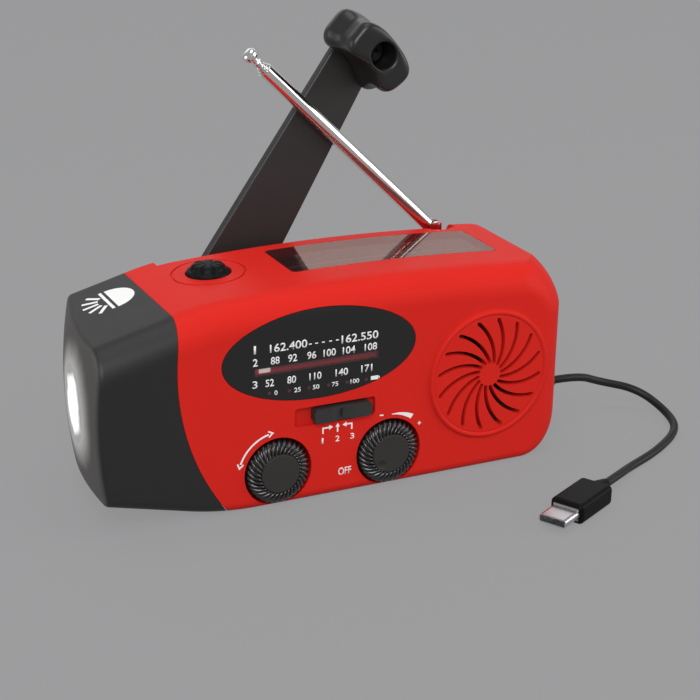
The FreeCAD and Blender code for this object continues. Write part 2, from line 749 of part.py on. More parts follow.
def rear_case():
    """The red back cover, with crank recess, aerial rebate and battery tray."""
    back_half = block((-FAR, PARTING, -FAR), (FAR, FAR, FAR))
    shell = case_wall.common(seam_drum(size("seam_radius"))).common(back_half)
    hub_room = size("hub_radius") + 0.6
    tray_start = size("battery_deep") - 0.4
    post_x = size("aerial_across")
    post_y = size("aerial_deep")

    added = [through(hub_room + 2.0, HUB.x, HUB.z, HUB_FLOOR - 1.8, BACK - 1.0)]
    added.append(through(5.0, HUB.x, HUB.z, 17.0, HUB_FLOOR))
    added.append(battery_box(0.3 + TRAY_WALL, tray_start - TRAY_WALL, BACK - 1.0))
    for across, up in GEAR_POSTS:
        added.append(through(1.6, across, up, size("gear_plate_deep") + size("gear_plate_thickness"), BACK - 1.0))
    for across, up in SCREW_AT:
        added.append(through(SCREW_PILLAR, across, up, PARTING, BACK - 1.0))
    left = REBATE_END - 1.6
    right = REBATE_RIGHT + 1.6
    low = REBATE_FLOOR - 1.8
    added.append(block((left, PARTING - 1.8, low), (right, PARTING, 60.0)).common(inside))
    added.append(block((left, PARTING, low), (right, FAR, REBATE_FLOOR + 0.2)))
    added.append(block((left, PARTING, low), (REBATE_END + 0.2, FAR, 60.0)))
    added.append(block((REBATE_RIGHT - 0.2, PARTING, low), (right, FAR, 60.0)))
    added.append(block((43.0, 14.8, low), (right, PARTING, 60.0)).common(inside))
    added.append(rod(3.6, Vector(post_x, post_y - 0.6, 44.0), Vector(post_x, post_y - 0.6, REBATE_FLOOR)))
    added = [piece.common(body_form) for piece in added]
    shell = shell.fuse(added)
    front_of_wall = block((-FAR, -FAR, -FAR), (FAR, PARTING, FAR)).cut(inside)
    shell = shell.cut(front_of_wall)

    cuts = [block((REBATE_END, PARTING, REBATE_FLOOR), (REBATE_RIGHT, FAR, FAR))]
    cuts.append(through(hub_room, HUB.x, HUB.z, HUB_FLOOR, FAR))
    cuts.append(through(size("crank_shaft") + 0.05, HUB.x, HUB.z, 0.0, FAR))
    cuts.append(battery_box(0.3, tray_start, FAR))
    door_x = size("battery_across")
    door_z = size("battery_up")
    half_w = 0.5 * size("door_width") + GAP
    half_h = 0.5 * size("door_height") + GAP
    cuts.append(front_slot(door_x - half_w, door_x + half_w, door_z - half_h, door_z + half_h, 2.0,
                           BACK - size("door_thickness") - 0.05, FAR))
    for across, up in SCREW_AT:
        cuts.append(through(SCREW_HOLE + 0.3, across, up, PARTING - 1.0, FAR))
        cuts.append(through(2.1, across, up, BACK - 2.4, FAR))
    idler = idler_center()
    cuts.append(through(size("idler_axle"), idler.x, idler.z, 16.0, 18.6))
    cuts.append(rod(1.55, Vector(post_x, post_y, 46.0), Vector(post_x, post_y, 60.0)))
    cuts.append(rod(5.2, Vector(post_x, post_y, 55.0), Vector(post_x, post_y, 70.0)))
    for across, up in GEAR_POSTS:
        cuts.append(through(0.72, across, up, 8.0, 15.0))
    boss = through(2.6, idler.x, idler.z, 16.9, BACK - 1.0)
    shell = shell.fuse(boss.common(body_form))
    for cutter in cuts:
        shell = shell.cut(cutter)
    return shell


def polar(center, reach, degrees):
    turn = math.radians(degrees)
    return center + Vector(reach * math.cos(turn), 0, reach * math.sin(turn))


def idler_center():
    teeth = size("drive_teeth") + size("idler_small_teeth")
    reach = 0.5 * size("gear_module") * teeth + size("mesh_slack")
    return polar(HUB, reach, size("idler_direction"))


def rotor_center():
    teeth = size("idler_large_teeth") + size("rotor_teeth")
    reach = 0.5 * size("gear_module") * teeth + size("mesh_slack")
    return polar(idler_center(), reach, size("rotor_direction"))


shaped("rear_case", rear_case())


def case_screws():
    """Four screws: the head in its well, the shank in the front pillar."""
    screws = []
    for across, up in SCREW_AT:
        head = through(2.0, across, up, BACK - 2.4, BACK - 0.9)
        shank = through(SCREW_HOLE - 0.02, across, up, PARTING - 8.0, BACK - 2.4)
        cross = block((across - 1.2, BACK - 1.5, up - 0.25), (across + 1.2, BACK, up + 0.25))
        other = block((across - 0.25, BACK - 1.5, up - 1.2), (across + 0.25, BACK, up + 1.2))
        screws.append(head.fuse(shank).cut(cross).cut(other))
    return Part.makeCompound(screws)


shaped("case_screws", case_screws())

# Dial and its pointer

NECK_BACK = -15.0
RACK_TIP = size("knob_up") + 0.5 * size("gear_module") * size("tuning_teeth") - 0.48 + size("mesh_slack")
RACK_REACH = (-32.0, 6.0)


def dial_window():
    """The oval clear window, flush with the front face."""
    return ellipse_prism(0.0, FRONT - 1.0, FRONT + size("dial_thickness")).common(outer)


def rack(left, right, gap_at):
    """A straight rack with teeth pointing down, a gap standing at gap_at."""
    pitch = math.pi * size("gear_module")
    tip = RACK_TIP
    root = tip + 1.14
    bar = block((left, NECK_BACK, root), (right, NECK_BACK + 2.0, root + 2.2))
    teeth = []
    first = math.ceil((left + 0.6 - gap_at) / pitch - 0.5)
    last = math.floor((right - 0.6 - gap_at) / pitch - 0.5)
    for number in range(first, last + 1):
        middle = gap_at + (number + 0.5) * pitch
        outline = [in_xz(middle - 0.27 * pitch, root + 0.05, NECK_BACK), in_xz(middle - 0.12 * pitch, tip, NECK_BACK),
                   in_xz(middle + 0.12 * pitch, tip, NECK_BACK), in_xz(middle + 0.27 * pitch, root + 0.05, NECK_BACK)]
        teeth.append(prism(outline, 2.0))
    return bar.fuse(teeth)


def dial_pointer():
    """The pointer block, its neck through the slot, and the rack behind."""
    at = size("pointer_at")
    up = size("scale_up")
    half = 0.5 * size("pointer_width")
    shape = block((at - half, FRONT + 1.55, up - 0.9), (at + half, FRONT + 2.1, up + 0.9))
    neck = block((at - 0.7, FRONT + 2.0, up - 0.4), (at + 0.7, NECK_BACK + 1.0, up + 0.4))
    strip = block((at - 1.6, NECK_BACK, RACK_TIP + 1.2), (at + 1.6, NECK_BACK + 1.4, up + 0.8))
    bar = rack(at + RACK_REACH[0], at + RACK_REACH[1], size("tuning_across"))
    return shape.fuse([neck, strip, bar])


def gear(teeth, center, start, end, bore, tooth_at):
    """A spur gear along Y with straight-sided teeth, one at a given angle."""
    pitch_radius = 0.5 * size("gear_module") * teeth
    root = pitch_radius - 1.1 * size("gear_module")
    tip = pitch_radius + 0.8 * size("gear_module")
    step = 360.0 / teeth
    points = []
    for number in range(int(teeth)):
        middle = tooth_at + number * step
        for reach, share in ((root, -0.27), (tip, -0.12), (tip, 0.12), (root, 0.27)):
            points.append(polar(center, reach, middle + share * step) + Vector(0, start, 0))
    solid = prism(points, end - start)
    return solid.cut(through(bore, center.x, center.z, start - 1.0, end + 1.0))


SHAFT = 0.5 * size("knob_shaft")
KNOB_FRONT = FRONT - size("knob_proud")
KNOB_BACK = FRONT + size("knob_sunk")
TUNE_AT = in_xz(size("tuning_across"), size("knob_up"))
VOLUME_AT = in_xz(size("volume_across"), size("knob_up"))


def knob_profile(shrink):
    """Half section of a thumb knob: flat disc, sloping rim, straight side."""
    full = size("knob_radius") - shrink
    face = size("knob_face_radius")
    deep = KNOB_BACK - KNOB_FRONT
    return [(0, 0), (face, 0), (face + 0.3, 0.1 + 0.4 * shrink), (full - 2.1, 0.45 + shrink),
            (full - 0.9, 1.05 + shrink), (full - 0.2, 2.0 + shrink), (full, 2.8 + shrink), (full, deep), (0, deep)]


def thumb_knob(center):
    """A round knob with slanting ribs round its rim."""
    base = center + Vector(0, KNOB_FRONT, 0)
    body = turned(knob_profile(0.0), base, ALONG_Y)
    core = turned(knob_profile(0.45), base, ALONG_Y)
    count = int(size("knob_ribs"))
    step = 360.0 / count
    points = []
    for number in range(count):
        for reach, share in ((size("knob_radius") - 0.6, -0.3), (size("knob_radius") + 1.0, -0.14),
                             (size("knob_radius") + 1.0, 0.14), (size("knob_radius") - 0.6, 0.3)):
            points.append(polar(center, reach, (number + share) * step) + Vector(0, KNOB_FRONT, 0))
    star = prism(points, KNOB_BACK - KNOB_FRONT)
    bore = through(SHAFT + 0.02, center.x, center.z, KNOB_FRONT + 3.5, KNOB_BACK + 1.0)
    return body.common(star).fuse(core).removeSplitter().cut(bore)


def volume_knob():
    """The second knob has a round dimple near the rim of its disc."""
    dimple = VOLUME_AT + Vector(-2.9, KNOB_FRONT - 0.9, -3.1)
    return thumb_knob(VOLUME_AT).cut(Part.makeSphere(1.3, dimple))


shaped("dial_window", dial_window())
shaped("dial_pointer", dial_pointer())
shaped("tuning_knob", thumb_knob(TUNE_AT))
shaped("volume_knob", volume_knob())
shaped("tuning_gear", gear(size("tuning_teeth"), TUNE_AT, NECK_BACK - 0.2, NECK_BACK + 2.2, SHAFT + 0.02, 90.0))

SHAFT_FRONT = KNOB_FRONT + 3.6
BOARD_FRONT = size("board_deep")
for name, center in (("tuning_shaft", TUNE_AT), ("volume_shaft", VOLUME_AT)):
    length = "%.3f" % (BOARD_FRONT - 0.4 - SHAFT_FRONT)
    disc_body(name, "sizes.knob_shaft / 2", length, toward(center + Vector(0, SHAFT_FRONT, 0), ALONG_Y))


def board_control(center, half_width, front):
    """A control body on the board, bored for its shaft."""
    low = (center.x - half_width, front, center.z - half_width)
    high = (center.x + half_width, BOARD_FRONT, center.z + half_width)
    return block(low, high).cut(through(SHAFT + 0.05, center.x, center.z, front - 1.0, BOARD_FRONT - 0.3))


shaped("tuning_capacitor", board_control(TUNE_AT, 5.8, BOARD_FRONT - 2.8))
shaped("volume_control", board_control(VOLUME_AT, 7.0, BOARD_FRONT - 2.8))


# Band slider and its switch

DISH_RADIUS = 9.0


def band_slider():
    """The slider cap, dished for a finger, with a raised grip line, and its stem."""
    half = 0.5 * size("slider_length")
    half_high = 0.5 * size("slider_height")
    cap = front_slot(SLIDER_AT - half, SLIDER_AT + half, BAND_MIDDLE - half_high, BAND_MIDDLE + half_high, 1.1,
                     FRONT - 1.5, SLIDER_FLOOR - 0.3)
    dish_axis = Vector(SLIDER_AT, FRONT - 1.5 - DISH_RADIUS + 0.6, BAND_MIDDLE - 3.0)
    cap = cap.cut(Part.makeCylinder(DISH_RADIUS, 6.0, dish_axis, Vector(0, 0, 1)))
    tick = block((SLIDER_AT - 0.4, FRONT - 1.6, BAND_MIDDLE - 1.2),
                 (SLIDER_AT + 0.4, FRONT - 0.8, BAND_MIDDLE + 1.2))
    stem = block((SLIDER_AT - 1.5, FRONT, BAND_MIDDLE - 0.6), (SLIDER_AT + 1.5, FRONT + 5.1, BAND_MIDDLE + 0.6))
    return cap.fuse([tick, stem])


def band_switch():
    """The switch body behind the slot, with a groove for the stem."""
    travel = size("slider_travel")
    body = block((SLIDER_AT - 8.0, FRONT + 3.2, BAND_MIDDLE - 3.0), (SLIDER_AT + 4.0, FRONT + 6.6, BAND_MIDDLE + 3.0))
    groove = block((SLIDER_AT - travel - 1.8, FRONT, BAND_MIDDLE - 0.9),
                   (SLIDER_AT + 1.8, FRONT + 5.5, BAND_MIDDLE + 0.9))
    return body.cut(groove)


shaped("band_slider", band_slider())
shaped("band_switch", band_switch())


# Torch button

BUTTON_AT = Vector(size("button_across"), size("button_deep"), 0)
BUTTON_TOP = 61.5


def torch_button():
    """A domed cap, a flange that keeps it in, and a stem to the switch."""
    radius = size("button_radius")
    profile = [(0, 50.6), (1.5, 50.6), (1.5, 54.3), (radius + 1.0, 54.3), (radius + 1.0, 55.3), (radius, 55.3),
               (radius, BUTTON_TOP - 1.3), (radius - 0.35, BUTTON_TOP - 0.6), (radius - 1.2, BUTTON_TOP - 0.2),
               (radius - 3.0, BUTTON_TOP - 0.04), (0, BUTTON_TOP)]
    return turned(profile, BUTTON_AT)


def torch_switch():
    """A small push switch with a well that the stem dips into."""
    deep = size("button_deep") - 1.2
    across = size("button_across")
    body = block((across - 3.0, deep - 2.2, BRACKET + 1.4), (across + 3.0, deep + 2.5, 50.2))
    return body.cut(rod(1.85, BUTTON_AT + Vector(0, 0, 48.2), BUTTON_AT + Vector(0, 0, 51.0)))


shaped("torch_button", torch_button())
shaped("torch_switch", torch_switch())


# Solar strip

def solar_cover():
    """The clear strip, following the top of the case."""
    column = top_slot(size("solar_left"), size("solar_right"), size("solar_front"), size("solar_rear"), 1.5,
                      54.0, 70.0)
    return column.common(form_layer(0.02, size("solar_thickness")))


def solar_cell():
    """The thin cell below the window opening."""
    column = top_slot(size("solar_left") + 0.5, size("solar_right") - 0.5, size("solar_front") + 0.5,
                      size("solar_rear") - 0.5, 0.6, 52.5, 70.0)
    return column.common(form_layer(WALL + 0.1, WALL + 1.0))


shaped("solar_cover", solar_cover())
shaped("solar_cell", solar_cell())


# Crank

ARM_TURN = math.radians(size("arm_angle"))
ARM_OUT = Vector(math.cos(ARM_TURN), 0, math.sin(ARM_TURN))
ARM_LEFT = Vector(-math.sin(ARM_TURN), 0, math.cos(ARM_TURN))
ARM_FRONT = size("arm_inner")
ARM_BACK = ARM_FRONT + size("arm_thickness")
HINGE_DEEP = 0.5 * (ARM_FRONT + ARM_BACK)
HUB_FRONT = HUB_FLOOR + 0.3
HUB_BACK = ARM_FRONT - 1.2
GRIP_BACK = ARM_FRONT - 0.3
GRIP_AT = HUB + ARM_OUT * size("arm_length")
GRIP_TURN = -50.0


def on_arm(out, left, deep):
    """A place given along the arm, across it to the left, and in depth."""
    return HUB + ARM_OUT * out + ARM_LEFT * left + Vector(0, deep, 0)


def arm_block(out, left, deep):
    """A block along the arm between three pairs of limits."""
    corners = [on_arm(out[0], left[0], deep[0]), on_arm(out[1], left[0], deep[0]),
               on_arm(out[1], left[1], deep[0]), on_arm(out[0], left[1], deep[0])]
    return prism(corners, deep[1] - deep[0])


def hinge_rod(radius, left):
    """A rod along the fold axis."""
    return rod(radius, on_arm(0, left[0], HINGE_DEEP), on_arm(0, left[1], HINGE_DEEP))


def crank_hub():
    """The turning disc with two ears that carry the hinge pin."""
    shape = through(size("hub_radius"), HUB.x, HUB.z, HUB_FRONT, HUB_BACK)
    for left in ((-8.6, -5.3), (5.3, 8.6)):
        ear = hinge_rod(3.4, left).fuse(arm_block((-3.4, 3.4), left, (HUB_BACK - 1.0, HINGE_DEEP)))
        shape = shape.fuse(ear)
    shape = shape.cut(hinge_rod(size("hinge_pin") + 0.02, (-9.0, 9.0)))
    return shape.cut(through(size("crank_shaft") + 0.02, HUB.x, HUB.z, HUB_FRONT - 1.0, HUB_BACK - 0.8))


def crank_arm():
    """The flat tapered arm with its hinge barrel."""
    near = 4.2
    far = size("arm_length")
    wide = 0.5 * size("arm_width_hub")
    slim = 0.5 * size("arm_width_tip")
    shift = size("arm_shift")
    left_near = on_arm(near, wide - shift, ARM_FRONT)
    left_far = on_arm(far, slim - shift, ARM_FRONT)
    tip = on_arm(far + slim, -shift, ARM_FRONT)
    right_far = on_arm(far, -slim - shift, ARM_FRONT)
    right_near = on_arm(near, -wide - shift, ARM_FRONT)
    edges = [Part.LineSegment(left_near, left_far).toShape(), Part.Arc(left_far, tip, right_far).toShape(),
             Part.LineSegment(right_far, right_near).toShape(), Part.LineSegment(right_near, left_near).toShape()]
    plate = Part.Face(Part.Wire(edges)).extrude(Vector(0, size("arm_thickness"), 0))
    corners = []
    for edge in plate.Edges:
        at = edge.valueAt(0.5 * (edge.FirstParameter + edge.LastParameter))
        if abs(edge.tangentAt(edge.FirstParameter).y) > 0.9 and (at - HUB).dot(ARM_OUT) < near + 1.0:
            corners.append(edge)
    plate = plate.makeFillet(3.0, corners)
    rims = [edge for edge in plate.Edges if abs(edge.BoundBox.YLength) < 1e-3]
    plate = plate.makeFillet(0.7, rims)
    tongue = arm_block((0.0, 8.0), (-5.0, 5.0), (ARM_FRONT, ARM_BACK))
    barrel = hinge_rod(2.2, (-5.0, 5.0))
    shape = plate.fuse([tongue, barrel])
    shape = shape.cut(hinge_rod(size("hinge_pin") + 0.05, (-9.0, 9.0)))
    return shape.cut(through(SCREW_SHANK + 0.02, GRIP_AT.x, GRIP_AT.z, ARM_FRONT - 1.0, ARM_BACK - 0.4))


SCREW_SHANK = 2.0
GRIP_OUTLINE = [(-10.0, 3.0), (-6.0, 4.8), (0.0, 5.3), (6.0, 4.8), (10.0, 2.6), (10.4, -1.8), (9.6, -5.0),
                (7.6, -6.6), (5.0, -6.0), (2.4, -4.9), (0.0, -4.6), (-2.4, -4.9), (-5.0, -6.0), (-7.6, -6.6),
                (-9.8, -5.0), (-10.6, -1.4)]


def grip_section(scale, deep):
    """The bean-shaped outline of the grip at one depth."""
    points = []
    for long_way, short_way in GRIP_OUTLINE:
        reach = scale * math.hypot(long_way, short_way)
        turn = GRIP_TURN + math.degrees(math.atan2(short_way, long_way))
        points.append(polar(GRIP_AT, reach, turn) + Vector(0, deep, 0))
    curve = Part.BSplineCurve()
    curve.interpolate(Points=points, PeriodicFlag=True)
    return Part.Wire([curve.toShape()])


def crank_knob():
    """The grip, slightly waisted, with a deep well for its screw."""
    front = size("grip_front")
    well_end = front + size("screw_well_depth")
    sections = [grip_section(0.88, front), grip_section(0.955, front + 0.8), grip_section(0.99, front + 2.4),
                grip_section(0.95, 0.5 * (front + GRIP_BACK)), grip_section(1.04, GRIP_BACK)]
    shape = Part.makeLoft(sections, True, False)
    shape = shape.cut(through(size("screw_well"), GRIP_AT.x, GRIP_AT.z, front - 1.0, well_end))
    return shape.cut(through(SCREW_SHANK + 0.1, GRIP_AT.x, GRIP_AT.z, front, ARM_BACK))


def knob_screw():
    """The shouldered screw that the grip turns on."""
    well_end = size("grip_front") + size("screw_well_depth")
    head = through(3.3, GRIP_AT.x, GRIP_AT.z, well_end - 2.8, well_end - 0.3)
    shank = through(SCREW_SHANK, GRIP_AT.x, GRIP_AT.z, well_end - 0.4, ARM_BACK - 0.4)
    shape = head.fuse(shank)
    for wide, tall in ((1.9, 0.4), (0.4, 1.9)):
        shape = shape.cut(block((GRIP_AT.x - wide, well_end - 3.0, GRIP_AT.z - tall),
                                (GRIP_AT.x + wide, well_end - 1.6, GRIP_AT.z + tall)))
    return shape


shaped("crank_hub", crank_hub())
shaped("crank_arm", crank_arm())
shaped("crank_knob", crank_knob())
shaped("knob_screw", knob_screw())
disc_body("hinge_pin", "sizes.hinge_pin", "16.8", toward(on_arm(0, -8.4, HINGE_DEEP), ARM_LEFT))


# Gear train and generator

PLATE_FRONT = size("gear_plate_deep")
PLATE_BACK = PLATE_FRONT + size("gear_plate_thickness")
SHAFT_END = PLATE_FRONT - 1.4
IDLER = idler_center()
ROTOR = rotor_center()
LARGE_GEAR = (10.4, 12.4)
SMALL_GEAR = (13.6, 16.2)

disc_body("crank_shaft", "sizes.crank_shaft", "%.3f" % (HUB_BACK - 1.0 - SHAFT_END),
          toward(HUB + Vector(0, SHAFT_END, 0), ALONG_Y))
shaped("drive_gear", gear(size("drive_teeth"), HUB, SMALL_GEAR[0], SMALL_GEAR[1], size("crank_shaft") + 0.02,
                          size("idler_direction")))


def idler_gear():
    """A large and a small gear on one sleeve, free to turn on the axle."""
    bore = size("idler_axle") + 0.05
    small_gap = size("idler_direction") + 180.0
    small_tooth = small_gap + 180.0 / size("idler_small_teeth")
    small = gear(size("idler_small_teeth"), IDLER, LARGE_GEAR[1] - 0.1, SMALL_GEAR[1], bore, small_tooth)
    large = gear(size("idler_large_teeth"), IDLER, LARGE_GEAR[0], LARGE_GEAR[1], bore, size("rotor_direction"))
    return large.fuse(small)


def rotor_gear():
    """The pinion on the generator shaft."""
    gap = size("rotor_direction") + 180.0
    tooth = gap + 180.0 / size("rotor_teeth")
    pinion = gear(size("rotor_teeth"), ROTOR, LARGE_GEAR[0] - 0.2, LARGE_GEAR[1] + 0.2, 0.4, tooth)
    shaft = through(size("rotor_shaft"), ROTOR.x, ROTOR.z, PLATE_FRONT - 6.0, LARGE_GEAR[1] + 0.2)
    return pinion.fuse(shaft)


def generator():
    """The round generator can, bored for the rotor shaft."""
    start = PLATE_FRONT - size("generator_length")
    can = through(size("generator_radius"), ROTOR.x, ROTOR.z, start, PLATE_FRONT)
    collar = through(3.0, ROTOR.x, ROTOR.z, start - 0.9, start)
    bore = through(size("rotor_shaft") + 0.05, ROTOR.x, ROTOR.z, PLATE_FRONT - 6.2, PLATE_FRONT + 1.0)
    return can.fuse(collar).cut(bore)


def gear_plate():
    """The plate that carries the generator and the shaft ends."""
    body = block((-47.0, PLATE_FRONT, 10.2), (6.6, PLATE_BACK, 43.2))
    tabs = [block((-2.4, PLATE_FRONT, 43.0), (2.4, PLATE_BACK, 51.4)),
            block((-38.4, PLATE_FRONT, 6.0), (-33.6, PLATE_BACK, 10.4)),
            block((2.1, PLATE_FRONT, 3.0), (6.6, PLATE_BACK, 10.4))]
    body = body.fuse(tabs)
    holes = [through(size("crank_shaft") + 0.05, HUB.x, HUB.z, PLATE_FRONT - 1.0, PLATE_BACK + 1.0),
             through(size("idler_axle") + 0.02, IDLER.x, IDLER.z, PLATE_FRONT - 1.0, PLATE_BACK + 1.0),
             through(size("rotor_shaft") + 0.5, ROTOR.x, ROTOR.z, PLATE_FRONT - 1.0, PLATE_BACK + 1.0)]
    for across, up in GEAR_POSTS:
        holes.append(through(0.72, across, up, PLATE_FRONT - 1.0, PLATE_BACK + 1.0))
    for hole in holes:
        body = body.cut(hole)
    return body


def plate_screws():
    """Four small screws that hold the gear plate to its posts."""
    screws = []
    for across, up in GEAR_POSTS:
        head = through(1.5, across, up, PLATE_FRONT - 1.0, PLATE_FRONT)
        screws.append(head.fuse(through(0.7, across, up, PLATE_FRONT - 0.1, PLATE_BACK + 4.0)))
    return Part.makeCompound(screws)


shaped("idler_gear", idler_gear())
disc_body("idler_axle", "sizes.idler_axle", "10.0", toward(IDLER + Vector(0, PLATE_FRONT + 0.1, 0), ALONG_Y))
shaped("rotor_gear", rotor_gear())
shaped("generator", generator())
shaped("gear_plate", gear_plate())
shaped("plate_screws", plate_screws())


# Aerial

AERIAL_TURN = math.radians(180.0 - size("aerial_angle"))
AERIAL_OUT = Vector(math.cos(AERIAL_TURN), 0, math.sin(AERIAL_TURN))
PIVOT = Vector(size("aerial_across"), size("aerial_deep"), size("aerial_pivot"))
POST_RADIUS = 1.5
AERIAL_PIN = 0.7


def along_aerial(distance):
    return PIVOT + AERIAL_OUT * distance


def aerial_tube(outer_radius, bore, start, end):
    """One telescopic section, open at its far end."""
    tube_shape = rod(outer_radius, along_aerial(start), along_aerial(end))
    return tube_shape.cut(rod(bore, along_aerial(start + 1.5), along_aerial(end + 1.0)))


def aerial_base():
    """The swivel post and the fork that the aerial tips in."""
    radius = size("aerial_post")
    foot = Vector(PIVOT.x, PIVOT.y, 0)
    post = rod(POST_RADIUS, foot + Vector(0, 0, 46.4), foot + Vector(0, 0, 54.0))
    column = rod(radius, foot + Vector(0, 0, REBATE_FLOOR + 0.3), foot + Vector(0, 0, 60.0))
    crown = rod(3.0, PIVOT - Vector(0, 4, 0), PIVOT + Vector(0, 4, 0))
    lower = block((PIVOT.x - 5, PIVOT.y - 5, 50.0), (PIVOT.x + 5, PIVOT.y + 5, PIVOT.z))
    fork = column.common(crown.fuse(lower))
    slot = block((PIVOT.x - 5, PIVOT.y - 1.15, 54.6), (PIVOT.x + 5, PIVOT.y + 1.15, 62.0))
    fork = fork.cut(slot)
    pin_hole = rod(AERIAL_PIN + 0.02, PIVOT - Vector(0, 4, 0), PIVOT + Vector(0, 4, 0))
    return fork.fuse(post).cut(pin_hole)


def aerial_root():
    """The thickest section with its flat lug between the fork ears."""
    radius = size("aerial_tube")
    end = size("aerial_tube_end")
    tube_shape = rod(radius, along_aerial(3.5), along_aerial(end))
    tube_shape = tube_shape.cut(rod(radius - 0.3, along_aerial(6.0), along_aerial(end + 1.0)))
    half = 0.85
    side = Vector(0, half, 0)
    round_end = rod(2.0, PIVOT - side, PIVOT + side)
    across = AERIAL_OUT.cross(ALONG_Y) * 2.0
    near = PIVOT - side
    far = along_aerial(3.8) - side
    web = prism([near - across, far - across, far + across, near + across], 2 * half)
    lug = round_end.fuse(web)
    pin_hole = rod(AERIAL_PIN + 0.05, PIVOT - Vector(0, 4, 0), PIVOT + Vector(0, 4, 0))
    return tube_shape.fuse(lug).cut(pin_hole)


def aerial_rod():
    """The innermost rod with its collar, neck and rounded button end."""
    tip = size("aerial_tip")
    stem = 0.75
    profile = [(0, 13.4), (stem, 13.4), (stem, tip - 4.9), (1.3, tip - 4.9), (1.3, tip - 4.3), (1.05, tip - 4.0),
               (1.05, tip - 3.1), (1.6, tip - 2.8), (2.0, tip - 2.4), (2.15, tip - 1.9), (2.15, tip - 1.1),
               (1.95, tip - 0.6), (1.5, tip - 0.2), (0.8, tip - 0.04), (0, tip)]
    return turned(profile, PIVOT, AERIAL_OUT)


shaped("aerial_base", aerial_base())
disc_body("aerial_pin", "%.3f" % AERIAL_PIN, "4.6", toward(PIVOT - Vector(0, 2.3, 0), ALONG_Y))
shaped("aerial_tube_1", aerial_root())
step = size("aerial_step")
shaped("aerial_tube_2", aerial_tube(1.75, 1.45, 8.0, size("aerial_tube_end") + step))
shaped("aerial_tube_3", aerial_tube(1.4, 1.1, 9.8, size("aerial_tube_end") + 2 * step))
shaped("aerial_tube_4", aerial_tube(1.05, 0.8, 11.6, size("aerial_tube_end") + 3 * step))
shaped("aerial_rod", aerial_rod())


# Speaker

def speaker_part(points):
    face = in_xz(size("speaker_across"), size("speaker_up"), FRONT + WALL + 0.1)
    return turned(points, face, ALONG_Y)


shaped("speaker_frame", speaker_part([(17.9, 0), (17.9, 1.3), (16.6, 1.3), (9.4, 6.6), (9.4, 8.0), (3.0, 8.0),
                                      (3.0, 7.2), (8.6, 7.2), (8.6, 6.2), (15.9, 0.6), (15.9, 0)]))
shaped("speaker_cone", speaker_part([(0, 3.0), (2.4, 3.5), (4.2, 4.8), (15.2, 0.02), (15.88, 0.02), (15.88, 0.3),
                                     (15.3, 0.35), (4.3, 5.4), (2.2, 4.1), (0, 3.6)]))
shaped("speaker_magnet", speaker_part([(0, 8.02), (9.0, 8.02), (9.0, 12.6), (8.4, 13.0), (0, 13.0)]))


# Boards and battery

def radio_chips():
    """Flat components on the back of the main board."""
    back = BOARD_FRONT + size("board_thickness")
    places = [(-31.0, 24.0, 7.0, 7.0), (3.0, 30.0, 9.0, 9.0), (16.0, 24.0, 5.0, 6.0), (-16.0, 13.0, 6.0, 4.0)]
    return Part.makeCompound([block((x, back, z), (x + w, back + 1.1, z + h)) for x, z, w, h in places])


def indicator_lamps():
    """Six small lamps in a row, standing in the dial floor holes."""
    return Part.makeCompound([through(0.8, across, LAMP_ROW, FRONT + 1.6, FRONT + 4.5) for across in LAMPS])


def usb_socket():
    """The metal socket shell with its tongue, closed at the back."""
    deep = size("socket_deep")
    up = size("socket_up")
    shell = block((61.6, deep - 1.6, up - 4.1), (69.0, deep + 1.6, up + 4.1))
    room = block((62.0, deep - 1.35, up - 3.85), (70.0, deep + 1.35, up + 3.85))
    tongue = block((61.8, deep - 0.3, up - 2.6), (67.2, deep + 0.3, up + 2.6))
    return shell.cut(room).fuse(tongue)


plate_body("main_board", "sizes.board_width", "sizes.board_height", "sizes.board_thickness",
           toward(in_xz(size("board_across"), size("board_up"), BOARD_FRONT), ALONG_Y))
shaped("radio_chips", radio_chips())
plate_body("indicator_board", "41.0", "4.6", "1.0", toward(in_xz(-7.0, LAMP_ROW, FRONT + 4.5), ALONG_Y))
shaped("indicator_lamps", indicator_lamps())
disc_body("ferrite_rod", "sizes.ferrite_radius", "sizes.ferrite_length", toward(Vector(-34.5, -16.6, 49.35), ALONG_X))
shaped("usb_socket", usb_socket())
plate_body("charge_board", "11.8", "13.0", "1.2", toward(Vector(59.2, size("socket_deep") + 1.62, 13.6), ALONG_Y))
plate_body("battery", "sizes.battery_width", "sizes.battery_height", "sizes.battery_thickness",
           toward(in_xz(size("battery_across"), size("battery_up"), size("battery_deep")), ALONG_Y))
DOOR_HALF = Vector(0.5 * size("door_width"), 0, 0.5 * size("door_height"))
DOOR_AT = in_xz(size("battery_across"), size("battery_up"))
shaped("battery_door", front_slot(DOOR_AT.x - DOOR_HALF.x, DOOR_AT.x + DOOR_HALF.x, DOOR_AT.z - DOOR_HALF.z,
                                  DOOR_AT.z + DOOR_HALF.z, 1.85, BACK - size("door_thickness"), BACK))


# Charging lead

LEAD = [(79.4, -0.9, 13.0), (88.5, -0.9, 13.0), (97.0, 0.8, 9.2), (109.1, -2.7, 6.1), (113.1, -13.2, 1.95),
        (109.1, -24.8, 1.25), (94.6, -35.3, 1.25), (80.0, -42.0, 1.25), (73.3, -47.7, 3.1), (65.5, -51.9, 3.2)]


